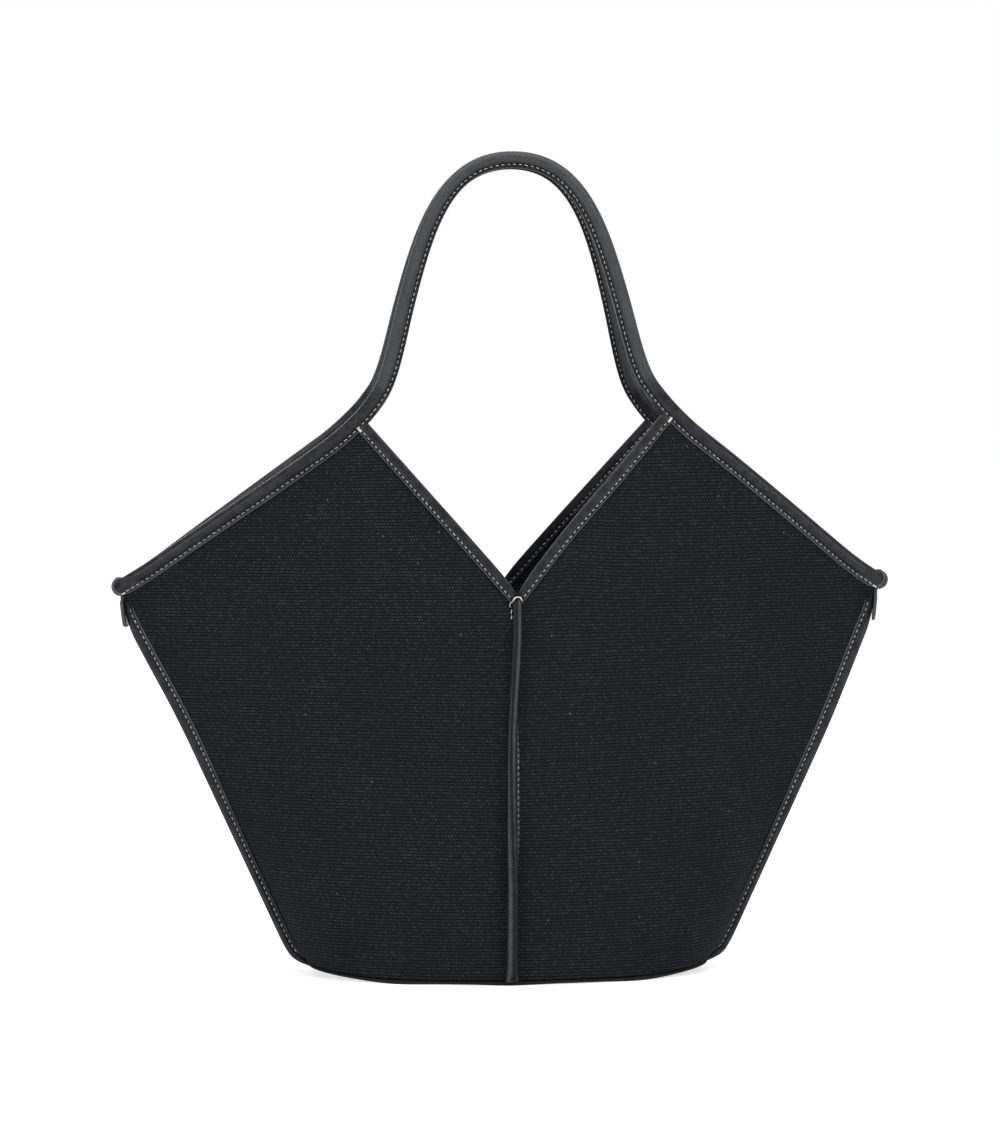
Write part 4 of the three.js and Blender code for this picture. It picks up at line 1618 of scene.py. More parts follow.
    def stand_for(self, half: Half, kind: str) -> None:
        """Let a piece replace the two rail solids and the handle solid of one kind."""
        names = (f"{half.label}_{part}_{kind}" for part in ("left_rail", "right_rail", "handle"))
        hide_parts(*names)

    def bend(self, piece: bpy.types.Object, half: Half) -> None:
        """Bake a piece's placement into its mesh.

        Args:
            piece: The piece.
            half: The half of the bag.
        """
        tilt = math.radians(self.lean)
        rise = half.place(np.array([0.0, math.sin(tilt), math.cos(tilt)]))
        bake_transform(piece)

    def build(self, finishes: Finishes) -> None:
        """Make and dress both rolled edges with their cords and stitches."""
        for half, reach in ((Half.FRONT, self.front_reach), (Half.BACK, self.back_reach)):
            rings, wear_and_light = self.sections(reach)
            cover = Net()
            cover.tube(half.place(self.mirrored(rings)), np.concatenate([wear_and_light, wear_and_light[-2::-1]]))
            strip = cover.piece(f"rolled_edge_{half.label}", finishes.leather, "leather")
            self.stand_for(half, "cover")
            self.bend(strip, half)
            self.build_cord(half, reach, finishes)
            self.build_stitches(half, reach, finishes)

    def build_cord(self, half: Half, reach: float, finishes: Finishes) -> None:
        """Make the cord inside one roll.

        Args:
            half: The half of the bag.
            reach: Extra length of the tip.
            finishes: The bag's finishes.
        """
        middle, flange, side, places = self.frames(reach)
        inside = places > self.tip_press
        turn = np.arange(self.cord_sides) * 2.0 * math.pi / self.cord_sides
        ring = np.cos(turn)[:, None] * flange[inside][:, None] + np.sin(turn)[:, None] * side[inside][:, None]
        net = Net()
        net.tube(half.place(self.mirrored(middle[inside][:, None] + ring * self.cord_radius)))
        cord = net.piece(f"cord_{half.label}", finishes.cord, "cord")
        self.stand_for(half, "core")
        self.bend(cord, half)

    def build_stitches(self, half: Half, reach: float, finishes: Finishes) -> None:
        """Sew along the foot of the roll, on both faces.

        Args:
            half: The half of the bag.
            reach: Extra length of the tip.
            finishes: The bag's finishes.
        """
        middle, flange, side, places = self.frames(reach)
        _, to_arch = self.arch_share(middle, places)
        leg = lerp(self.rail_leg, self.arch_leg, to_arch)
        net = Net()
        for face in (1.0, -1.0):
            line = middle + flange * self.stitch_depth + side * (face * (leg - self.groove))[:, None]
            whole = half.place(self.mirrored(line))
            normals = half.place(self.mirrored(side * face))
            NEEDLE.sew(net, whole, normals, self.seed, self.stitch_stop, self.stitch_stop)
        stitches = net.piece(f"roll_stitches_{half.label}", finishes.thread, "leather")
        self.bend(stitches, half)


# Folded bindings

def fold_section(width: float, half: float, slot: float, stitch: float, groove: float, swell: float = 0.0,
                 crest_highlight: float = 0.6) -> tuple[Array, Array]:
    """Section of a strip folded in two.

    Args:
        width: Width from the fold to the cut edges.
        half: Half of the thickness over both legs.
        slot: Half of the gap between the legs.
        stitch: Distance of the stitches from the fold.
        groove: How far the stitches pull the legs in.
        swell: How far the legs bulge between the stitches and the fold.
        crest_highlight: How much paler the fold's crest is painted, as a highlight along it.

    Returns:
        Points as depth from the fold and place to the front, and the mark of each point for pale cut edges,
        painted highlights and painted shade.
    """
    cut = 0.22
    cut_clear = 3.0
    groove_half = 0.8
    groove_floor = 0.35
    pull = 0.8 * groove
    # Values below 0 paint shade into the groove at the stitches.
    outer = cut_edge(width, half, cut, cut_clear) + [
        (stitch + groove_half, half, 0.0),
        (stitch + groove_floor, half - pull, -0.8),
        (stitch, half - groove, -1.0),
        (stitch - groove_floor, half - pull, -0.8),
        (stitch - groove_half, half, 0.0),
        (lerp(stitch, half, 0.5), half + swell * 0.8, 0.0),
    ]
    radius = half + swell
    # The fold's crest is painted paler as a highlight along the fold.
    outer += [
        (radius * (1.0 + math.cos(b)), radius * math.sin(b), crest_highlight * math.sin(b / 2.0) ** 6)
        for b in np.linspace(math.pi / 2.0, math.pi, 12)
    ]
    turns = np.linspace(math.pi / 2.0, math.pi, 5)
    gap = [(half + slot * math.cos(b), slot * math.sin(b), 0.0) for b in turns]
    return closed_section(outer, [(width, slot, 1.0)] + gap)


@dataclass
class NotchBindings:
    """Strips folded over the edges of the notches, mitred where they meet in the middle."""

    width: float = 7.0
    half: float = 1.6
    slot: float = 0.7
    stitch: float = 5.4
    groove: float = 0.26
    fold_ease: float = 0.6
    ease_span: tuple = (2.0, 4.0)
    dip: float = 3.4
    dip_length: float = 3.6
    dip_span: tuple = (1.0, 5.0)
    under_rail: float = 3.4
    tuck: float = 0.35
    tuck_span: tuple = (5.2, 7.0)
    fin_half: float = 2.3
    fin_span: tuple = (2.2, 3.4)
    middle_gap: float = 0.2
    mitre_share: float = 0.79
    stitch_gap: float = 0.6
    rail_gap: float = 0.4
    stitch_stop: float = 0.4
    probe: float = 0.8
    search_span: tuple = (60.0, 100.0)
    search_steps: int = 800
    line_steps: int = 400
    stations: int = 110
    seed: int = 31

    def place(self, run: Array, depth: Array, height: Array) -> Array:
        """Points of the strip.

        Args:
            run: Place along the fold, as the x of its fold.
            depth: Distance from the fold.
            height: Distance off the canvas.

        Returns:
            The points, cut off at the middle of the bag and beside the middle seam's fin.
        """
        slope = WALL.notch_slope
        long = math.hypot(1.0, slope)
        x = run + depth * slope / long
        z = WALL.notch_height + slope * run - depth / long
        beside = ease(depth, *self.fin_span) * (height > 0.0)
        least = lerp(self.middle_gap, self.fin_half, beside)
        slide = np.maximum(least - x, 0.0)
        z = z + slide * slope
        x = np.hypot(x + slide, self.fold_ease * fade(depth, *self.ease_span))
        z = z - self.dip * np.exp(-x / self.dip_length) * fade(depth, *self.dip_span)
        tuck = 1.0 - self.tuck * fade(WALL.rail_depth(x, z), *self.tuck_span)
        return WALL.off(x, z, height * tuck)

    def top(self) -> float:
        """Place along the fold where it goes under the rolled edge."""
        x = np.linspace(*self.search_span, self.search_steps)
        return float(np.interp(-self.under_rail, -WALL.rail_depth(x, WALL.notch_z(x)), x))

    def stitch_lines(self, start: float) -> list:
        """Lines of stitches on both faces of a strip, with their normals.

        Args:
            start: Place along the fold where the strip starts.

        Returns:
            A line of points and their normals for each face.
        """
        fine = np.linspace(start, self.top(), self.line_steps)
        depth = np.full_like(fine, self.stitch)
        lines = []
        for face in (1.0, -1.0):
            line = self.place(fine, depth, np.full_like(fine, face * (self.half - self.groove)))
            over = self.place(fine, depth, np.full_like(fine, face * (self.half + self.probe)))
            beyond = line[:, 0] > (self.fin_half + self.stitch_gap if face > 0.0 else self.stitch_gap)
            under = WALL.rail_depth(line[:, 0], line[:, 2]) > WALL.flange_depth + self.rail_gap
            lines.append((line[beyond & under], unit(over - line)[beyond & under]))
        return lines

    def build(self, finishes: Finishes) -> None:
        """Make and dress the four strips and their stitches."""
        loop, wear_and_light = fold_section(self.width, self.half, self.slot, self.stitch, self.groove)
        start = -self.width * self.mitre_share
        run = np.linspace(start, self.top(), self.stations)[:, None]
        rings = self.place(run, loop[None, :, 0] + 0.0 * run, loop[None, :, 1] + 0.0 * run)
        lines = self.stitch_lines(start)
        for number, quarter in enumerate(Quarter):
            net = Net()
            net.tube(quarter.place(rings), np.broadcast_to(wear_and_light, rings.shape[:-1]))
            strip = net.piece(f"notch_trim_{quarter.label}", finishes.leather, "leather")
            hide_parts(f"{quarter.label}_notch_binding")
            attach(strip, "bag")
            sewn = Net()
            for line, normals in lines:
                pair = (quarter.place(line), quarter.place(normals))
                NEEDLE.sew(sewn, *pair, self.seed + number, self.stitch_stop, self.stitch_stop)
            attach(sewn.piece(f"notch_stitches_{quarter.label}", finishes.thread, "leather"), "bag")


@dataclass
class SeamBindings:
    """Strips folded over the seam allowances, which stand out from the body as fins."""

    start: float = 0.8
    fold: float = 6.7
    half: float = 2.2
    slot: float = 1.15
    stitch_from_edge: float = 1.9
    groove: float = 0.28
    swell: float = 0.15
    spread: float = 0.3
    fin_top: float = 219.6
    fin_foot: float = 2.4
    top_round: float = 2.4
    top_least: float = 0.02
    top_thin: float = 0.7
    top_reach: float = 0.6
    flare: float = 1.25
    flare_length: float = 14.0
    tuck_length: float = 6.0
    tuck_reach: float = 0.3
    stitch_start: float = 1.5
    stitch_stop: float = 9.0
    side_half: float = 1.9
    side_stop: float = 1.5
    side_start: float = -0.5
    side_start_span: tuple = (60.0, 150.0)
    side_stitch_start: float = 12.5
    side_stitch_stop: float = 10.0
    trim: float = 3.9
    trim_length: float = 30.0
    side_foot: float = 1.7
    foot_start: float = -1.5
    foot_start_span: tuple = (2.0, 14.0)
    foot_round: float = 12.5
    foot_reach: float = 0.14
    foot_swell: float = 0.2
    foot_swell_length: float = 9.0
    foot_wear_span: tuple = (5.0, 16.0)
    fold_highlight: float = 0.7
    fold_highlight_width: float = 3.6
    corner_start: float = -2.5
    corner_start_span: tuple = (4.0, 18.0)
    corner_thin: float = 0.7
    corner_length: float = 14.0
    wedge: float = 1.5
    crease_top: float = -0.7
    crease_foot: float = 0.9
    crease_span: tuple = (0.15, 0.85)
    crease_width: float = 0.72
    crease_depth: float = 0.95
    crest_start: float = 2.2
    crest_full: float = 1.2
    ridge_highlight: float = 0.54
    crease_shade: float = 1.6
    shoulder_shade: float = 1.4
    shoulder_span: tuple = (1.5, 2.1)
    stations: int = 130
    seed: int = 53

    def section(self) -> tuple[Array, Array]:
        """Section as distance out from the canvas and place across the fin, with its marks for pale cut
        edges, painted highlights and painted shade.
        """
        width = self.fold - self.start
        loop, wear_and_light = fold_section(
            width, self.half, self.slot, width - self.stitch_from_edge, self.groove, self.swell
        )
        return np.stack([self.fold - loop[:, 0], loop[:, 1]], axis=-1), wear_and_light

    def creased(self, down: Array) -> tuple[Array, Array]:
        """Sections of the middle fin, with a crease that wanders across its fold, painted lighter on its
        ridges and darker in the crease and at its sides.

        Args:
            down: Share of the way down the fin at each section.

        Returns:
            Points and marks of each section.
        """
        loop, wear_and_light = self.section()
        out, place = loop.T
        at = lerp(self.crease_top, self.crease_foot, ease(down, *self.crease_span))[:, None]
        dent = np.exp(-(((place - at) / self.crease_width) ** 2))
        front = ease(out, self.fold - self.crest_start, self.fold - self.crest_full)
        sides = ease(np.abs(place), *self.shoulder_span)
        moved = out - self.crease_depth * dent * front
        # Painted highlight on the fold's ridges, with painted shade in the crease and on the fin's sides.
        shade = self.ridge_highlight - self.crease_shade * dent - self.shoulder_shade * sides
        wear_and_light_rows = lerp(wear_and_light, shade, front)
        return np.stack([moved, np.broadcast_to(place, moved.shape)], axis=-1), wear_and_light_rows

    def middle_line(self) -> tuple[Array, Array]:
        """Line of the middle seam from the top to the base, and the directions out of it.

        Returns:
            The points and the directions.
        """
        z = np.linspace(self.fin_top, self.fin_foot, self.stations)
        wall_z = np.maximum(z, WALL.foot)
        y = -WALL.out(np.full_like(z, WALL.seam_out), wall_z)
        line = np.stack([np.zeros_like(z), y, z], axis=-1)
        run = np.gradient(line, axis=0)
        return line, unit(np.stack([0.0 * z, run[:, 2], -run[:, 1]], axis=-1))

    def side_line(self) -> tuple[Array, Array]:
        """Line of the right seam from the corner to the base, and the directions out of it.

        Returns:
            The points and the directions.
        """
        top = float(WALL.rail_height(WALL.tip_half_width - WALL.tip_overhang)) - self.side_stop
        z = np.linspace(top, self.side_foot + WALL.base_end_lift, self.stations)
        line = np.stack([WALL.seam_x(z), np.zeros_like(z), z], axis=-1)
        run = np.gradient(line, axis=0)
        return line, unit(np.stack([-run[:, 2], 0.0 * z, run[:, 0]], axis=-1))

    def rings(self, loops: Array, line: Array, out: Array, across: Array,
              reach: Array, thick: Array, start: Array) -> Array:
        """Rings of a fin.

        Args:
            loops: Section of the fin at each point.
            line: Points along the seam.
            out: Direction out of the bag at each point.
            across: Direction across the fin.
            reach: Width of the fin at each point compared with the full one.
            thick: Thickness at each point compared with the usual one.
            start: Distance of the cut edges out from the seam at each point.

        Returns:
            One ring for each point.
        """
        width = self.fold - self.start
        outer = self.start + width * reach
        away = lerp(start[:, None], outer[:, None], (loops[..., 0] - self.start) / width)
        hidden = (self.side_start - start) / (self.side_start - self.corner_start)
        hidden = np.clip(hidden, 0.0, 1.0)[:, None]
        wedge = lerp(1.0, ease(away, self.corner_start, self.wedge), hidden)
        return (
            line[:, None]
            + away[..., None] * out[:, None]
            + (loops[..., 1] * thick[:, None] * wedge)[..., None] * across
        )

    def stitch_lines(self, line: Array, out: Array, across: Array, thick: Array,
                     start: Array) -> list:
        """Lines of stitches on both faces of a fin, with their normals.

        Args:
            line: Points along the seam.
            out: Direction out of the bag at each point.
            across: Direction across the fin.
            thick: Thickness at each point compared with the usual one.
            start: Distance of the cut edges out from the seam at each point.

        Returns:
            A line and its normals for each face.
        """
        away = out * (start + self.stitch_from_edge)[:, None]
        found = []
        for face in (1.0, -1.0):
            shift = across * (face * (self.half - self.groove)) * thick[:, None]
            found.append((line + away + shift, np.broadcast_to(across * face, line.shape)))
        return found

    def build(self, finishes: Finishes) -> None:
        """Make and dress the four fins and their stitches."""
        self.build_middle(finishes)
        self.build_sides(finishes)

    def build_middle(self, finishes: Finishes) -> None:
        """Make the creased fins of the front and back seams, which widen towards the base."""
        line, out = self.middle_line()
        above = line[:, 2] - self.fin_foot
        top = arc_length(line)
        rounding = np.sqrt(np.clip(top / self.top_round, self.top_least, 1.0))
        thick = 1.0 + (self.flare - 1.0) * fade(above, 0.0, self.flare_length)
        thick = thick * (1.0 + self.spread * ease(top, 0.0, top[-1]))
        thick = thick * lerp(self.top_thin, 1.0, rounding)
        reach = lerp(self.tuck_reach, 1.0, np.sqrt(np.clip(above / self.tuck_length, 0.0, 1.0)))
        reach = reach * lerp(self.top_reach, 1.0, rounding)
        loops, wear_and_light = self.creased(top / top[-1])
        start = np.full(len(line), self.start)
        rings = self.rings(loops, line, out, RIGHT, reach, thick, start)
        sewn = self.stitch_lines(line, out, RIGHT, thick, start)
        for half in Half:
            self.fin(half, rings, wear_and_light, finishes)
            self.stitches(half, sewn, self.stitch_start, self.stitch_stop, finishes)

    def build_sides(self, finishes: Finishes) -> None:
        """Make the fins of the side seams, trimmed at the corners and rounded off at the base."""
        loop, wear_and_light = self.section()
        # Painted highlight along the outer fold of the side fins, paler towards the fold.
        painted_fold_highlight = self.fold_highlight * ease(loop[:, 0], self.fold - self.fold_highlight_width, self.fold)
        wear_and_light = np.where(wear_and_light == 0.0, painted_fold_highlight, wear_and_light)
        line, out = self.side_line()
        top = arc_length(line)
        above = top[-1] - top
        start = lerp(self.start, self.side_start, ease(line[:, 2], *self.side_start_span))
        start = lerp(self.corner_start, start, ease(top, *self.corner_start_span))
        start = lerp(self.foot_start, start, ease(above, *self.foot_start_span))
        reach = 1.0 - self.trim / (self.fold - self.start) * fade(top, 0.0, self.trim_length)
        rounding = np.sin(0.5 * math.pi * np.clip(above / self.foot_round, 0.0, 1.0))
        reach = reach * lerp(self.foot_reach, 1.0, rounding)
        thick = lerp(self.corner_thin, 1.0, ease(top, 0.0, self.corner_length))
        thick = thick * (1.0 + self.foot_swell * fade(above, 0.0, self.foot_swell_length))
        thick = thick * self.side_half / self.half
        faded = wear_and_light * ease(above, *self.foot_wear_span)[:, None]
        loops = np.broadcast_to(loop, (len(line), *loop.shape))
        rings = self.rings(loops, line, out, BACK, reach, thick, start)
        sewn = self.stitch_lines(line, out, BACK, thick, start)
        for side in Side:
            self.fin(side, rings, faded, finishes)
            self.stitches(side, sewn, self.side_stitch_start, self.side_stitch_stop, finishes)

    def fin(self, copy: Copy, rings: Array, wear_and_light: Array, finishes: Finishes) -> None:
        """Make one copy of a fin from its rings.

        Args:
            copy: Where the copy stands.
            rings: Rings of the fin.
            wear_and_light: Pale cut edges, painted highlights and painted shade round the rings.
            finishes: The bag's finishes.
        """
        net = Net()
        net.tube(copy.place(rings), np.broadcast_to(wear_and_light, rings.shape[:-1]))
        strip = net.piece(f"seam_trim_{copy.label}", finishes.leather, "leather")
        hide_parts(f"{copy.label}_seam_binding")
        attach(strip, "bag")

    def stitches(self, copy: Copy, lines: list, start: float, stop: float, finishes: Finishes) -> None:
        """Sew along both faces of one copy of a fin."""
        net = Net()
        for line, normals in lines:
            NEEDLE.sew(net, copy.place(line), copy.place(normals), self.seed, start, stop)
        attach(net.piece(f"seam_stitches_{copy.label}", finishes.thread, "leather"), "bag")


# Corner tabs, base and bar tacks

@dataclass
class CornerTabs:
    """Short strips of two layers that hang under the corners."""

    thickness: float = 1.8
    length: float = 18.2
    width: float = 13.0
    corner: float = 4.0
    neck_half: float = 1.7
    neck_length: float = 4.6
    top_x: float = 218.8
    top_z: float = 220.6
    curve: float = 1.8
    curve_power: float = 1.3
    groove: float = 0.22
    groove_half: float = 0.12
    groove_wear: float = 0.8
    edge: float = 0.25
    edge_wear: float = 0.6
    bevel: float = 0.08
    bevel_share: float = 0.6
    face_share: float = 1.6
    face_wear: float = 0.2
    neck_start: float = 0.4
    crease_angle: float = 40.0
    bend_length: float = 12.0
    corner_steps: int = 7
    side_steps: int = 16
    top_steps: int = 5

    def outline(self, inset: float) -> Array:
        """Outline of a layer as place across and distance down, with a neck and rounded lower corners.

        Args:
            inset: How far the layer is smaller than the tab.

        Returns:
            The points in order.
        """
        half = self.width / 2.0 - inset
        low = self.length - inset
        radius = self.corner - inset
        turns = np.linspace(0.0, math.pi / 2.0, self.corner_steps)
        downs = np.linspace(inset, low - radius, self.side_steps)[:-1]
        widened = ease(downs, self.neck_start * self.neck_length, self.neck_length)
        wides = lerp(self.neck_half - inset, half, widened)
        right = list(zip(wides, downs))
        right += [(half - radius + radius * math.cos(b), low - radius + radius * math.sin(b)) for b in turns]
        tops = [(y, inset) for y in np.linspace(-wides[0], wides[0], self.top_steps)[1:-1]]
        return np.array(right + [(-y, d) for y, d in right[::-1]] + tops)

    def build(self, finishes: Finishes) -> None:
        """Make and dress both tabs."""
        half = self.thickness / 2.0
        inner = [
            (-half, self.edge * self.face_share, self.face_wear),
            (-half + self.bevel, self.edge * self.bevel_share, self.edge_wear),
            (-half + self.edge, 0.0, self.edge_wear),
            (-self.groove_half, 0.0, self.groove_wear),
        ]
        outer = [(-place, inset, worn) for place, inset, worn in inner[::-1]]
        rings = []
        wear_and_light = []
        for place, inset, worn in inner + [(0.0, self.groove, 0.0)] + outer:
            shape = self.outline(inset)
            bend = self.curve * (shape[:, 1] / self.length) ** self.curve_power
            places = [self.top_x + place - bend, shape[:, 0], self.top_z - shape[:, 1]]
            rings.append(np.stack(places, axis=-1))
            wear_and_light.append(np.full(len(shape), worn))
        for side in Side:
            net = Net()
            net.tube(side.place(np.array(rings)), np.array(wear_and_light))
            tab = net.piece(f"tab_{side.label}", finishes.leather, "leather", sharp=self.crease_angle)
            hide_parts(f"{side.label}_corner_tab")
            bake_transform(tab)


@dataclass
class Base:
    """Oval leather base under the canvas, with the board that stiffens it."""

    thickness: float = 2.5
    canvas_half: float = 0.45
    edge_round: float = 0.8
    swell: float = 0.7
    swell_places: tuple = (-68.0, 0.0, 74.0)
    swell_length: float = 17.0
    rim_shade: float = 0.55
    rim_rings: int = 9
    end_gap: float = 0.01
    turns: int = 240
    rings_in: int = 14

    def outline(self) -> Array:
        """Outline of the base under the canvas, as x and y.

        Returns:
            The points in order.
        """
        turn = np.linspace(0.0, 2.0 * math.pi, self.turns, endpoint=False)
        x = (WALL.base_half_length + self.canvas_half) * np.sin(turn)
        inside = np.minimum(np.abs(x), WALL.base_half_length - self.end_gap)
        half = WALL.out(inside, WALL.foot + WALL.base_lift(inside)) + self.canvas_half
        across = np.cos(turn)
        off_ends = np.where(np.abs(across) < TINY, 0.0, 1.0)
        return np.stack([x, -half * np.sign(across) * off_ends], axis=-1)

    def build(self, finishes: Finishes) -> None:
        """Make and dress the base, and dress its board."""
        outline = self.outline()
        bulge = sum(np.exp(-(((outline[:, 0] - p) / self.swell_length) ** 2)) for p in self.swell_places)
        rows = []
        wear_and_light_rows = []
        shares = np.linspace(0.0, 1.0, self.rings_in)[1:]
        for share in shares[:-1]:
            rows.append((share, 0.0, 0.0))
        for turn in np.linspace(-90.0, 90.0, self.rim_rings):
            rows.append((1.0, math.radians(turn), 1.0))
        for share in shares[-2::-1]:
            rows.append((share, math.pi / 2.0, 0.0))
        rings = []
        half = self.thickness / 2.0
        for share, angle, rim in rows:
            inset = self.edge_round * (1.0 - math.cos(angle)) if rim else self.edge_round
            scale = share * (1.0 - inset / np.linalg.norm(outline, axis=1))
            flat = outline * scale[:, None]
            under = rim or angle == 0.0
            hollow = (1.0 - bulge) * self.swell * (0.5 - 0.5 * math.sin(angle)) if under else 0.0 * bulge
            level = half * (1.0 + (math.sin(angle) if rim else (1.0 if angle > 0.0 else -1.0)))
            height = WALL.base_lift(flat[:, 0]) + level + hollow
            rings.append(np.stack([flat[:, 0], flat[:, 1], height], axis=-1))
            # Painted shade round the base's rounded rim, darkest at its top where it meets the canvas.
            wear_and_light_rows.append(np.full(len(outline), -self.rim_shade * rim * (1.0 + math.sin(angle))))
        net = Net()
        net.tube(np.array(rings), np.array(wear_and_light_rows))
        base = net.piece("base_sole", finishes.sole, "leather")
        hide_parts("base_panel")
        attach(base, "bag")
        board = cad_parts["base_board"]
        board.data.materials.clear()
        board.data.materials.append(finishes.board)


@dataclass
class Tacks:
    """Bar tacks at the handle roots and corners, and the thread over the tops of the middle seams."""

    root_length: float = 3.4
    root_width: float = 1.15
    root_depth: float = 5.6
    root_lift: float = 0.2
    search_span: tuple = (70.0, 110.0)
    search_steps: int = 1600
    look_ahead: int = 40
    corner_length: float = 2.3
    corner_width: float = 0.7
    corner_inset: float = 7.6
    corner_out: float = 1.65
    corner_depth: float = 5.6
    bow_half: float = 2.6
    bow_radius: float = 0.42
    bow_lift: float = 0.2
    bow_rise: float = 0.7
    bow_fall: float = 2.2
    bow_out: float = 5.2
    bow_back: float = 1.6
    tail_x: float = -3.1
    tail_length: float = 14.0
    tail_off: float = 0.9
    tail_steps: int = 29
    tail_first: int = 9
    tail_last: int = 22
    loop_end: int = 7
    loop_aside: float = 0.5
    loop_off: float = 0.8
    loop_belly: tuple = (-0.9, -0.2, 0.3)
    loop_share: float = 0.55
    seed: int = 71
    loop_steps: int = 9
    bow_steps: int = 15
    bow_power: int = 3

    def root(self) -> tuple[Array, Array, Array]:
        """Place of the right front root's tack on the flange, with its direction and the flange's normal.

        Returns:
            The place, the direction and the normal.
        """
        binding = NotchBindings()
        edge = RolledEdge()
        x = np.linspace(*self.search_span, self.search_steps)
        z = WALL.notch_z(x, binding.stitch)
        at = int(np.argmin(np.abs(WALL.rail_depth(x, z) - self.root_depth)))
        middle, flange, side, _ = edge.frames(0.0)
        faces = middle + flange * self.root_depth + side * edge.rail_leg
        near = int(np.argmin(np.hypot(faces[:, 0] - x[at], faces[:, 2] - z[at])))
        first, second = WALL.off(x[[at, at + self.look_ahead]], z[[at, at + self.look_ahead]])
        return faces[near] + side[near] * self.root_lift, unit(second - first), side[near]

    def tail(self, net: Net, half: Half, start: Array) -> None:
        """Add the loop of thread beside the bow and the short stitches under it.

        Args:
            net: Where they go.
            half: The half of the bag.
            start: End of the bow on the front half.
        """
        z = start[2] - np.linspace(0.0, self.tail_length, self.tail_steps)
        face = WALL.off(np.full_like(z, -self.tail_x), z, self.tail_off) * MIRROR
        low_x = np.array([-self.tail_x + self.loop_aside])
        low = WALL.off(low_x, z[self.loop_end:self.loop_end + 1], self.loop_off)[0] * MIRROR
        t = np.linspace(0.0, 1.0, self.loop_steps)[:, None]
        belly = np.array(self.loop_belly) * np.sin(math.pi * t)
        thread_bow(net, half.place(lerp(start, low, t) + belly), self.loop_share * self.bow_radius)
        line = face[self.tail_first:self.tail_last]
        normals = np.broadcast_to(-BACK, line.shape)
        NEEDLE.sew(net, half.place(line), half.place(normals), self.seed)

    def bow(self) -> Array:
        """Line of the thread over the top of the front seam's fin.

        Returns:
            The points in order.
        """
        line, out = SeamBindings().middle_line()
        turn = np.linspace(-1.0, 1.0, self.bow_steps)
        bent = np.abs(turn) ** self.bow_power
        return (
            line[0] + self.bow_lift * UP
            + RIGHT * (turn * self.bow_half)[:, None]
            + UP * (self.bow_rise - self.bow_fall * bent)[:, None]
            + out[0] * (self.bow_out - self.bow_back * bent)[:, None]
        )

    def build(self, finishes: Finishes) -> None:
        """Make and dress the tacks of both halves."""
        for half in Half:
            net = Net()
            for sign in (1.0, -1.0):
                flip = np.array([sign, 1.0, 1.0])
                point, run, up = (half.place(v * flip) for v in self.root())
                bar_tack(net, point, run, up, self.root_length, self.root_width)
            bow = self.bow()
            thread_bow(net, half.place(bow), self.bow_radius)
            self.tail(net, half, bow[0])
            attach(net.piece(f"tacks_{half.label}", finishes.tack, "leather"), "bag")
        for side in Side:
            net = Net()
            x = WALL.tip_half_width - self.corner_inset
            fall = float(WALL.rail_angle(x))
            run = side.place(np.array([math.cos(fall), 0.0, -math.sin(fall)]))
            for sign in (1.0, -1.0):
                y = -(float(WALL.rail_out(np.array([x]))[0]) + self.corner_out) * sign
                point = side.place(np.array([x, y, float(WALL.rail_height(x)) - self.corner_depth]))
                bar_tack(net, point, run, -sign * BACK, self.corner_length, self.corner_width)
            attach(net.piece(f"corner_tacks_{side.label}", finishes.tack, "leather"), "bag")


# Studio

@dataclass(frozen=True)
class Lamp:
    """Square soft lamp aimed at the bag's middle, in metres and watts."""

    name: str
    place: tuple
    size: float
    power: float
    aim_height: float = 0.22

    def build(self) -> None:
        """Add the lamp to the scene."""
        data = bpy.data.lights.new(self.name, "AREA")
        data.size = self.size
        data.energy = self.power
        lamp = bpy.data.objects.new(self.name, data)
        aim = Vector(self.place) - Vector((0.0, 0.0, self.aim_height))
        lamp.matrix_world = Matrix.Translation(self.place) @ aim.to_track_quat("Z", "Y").to_matrix().to_4x4()
        bpy.context.scene.collection.objects.link(lamp)


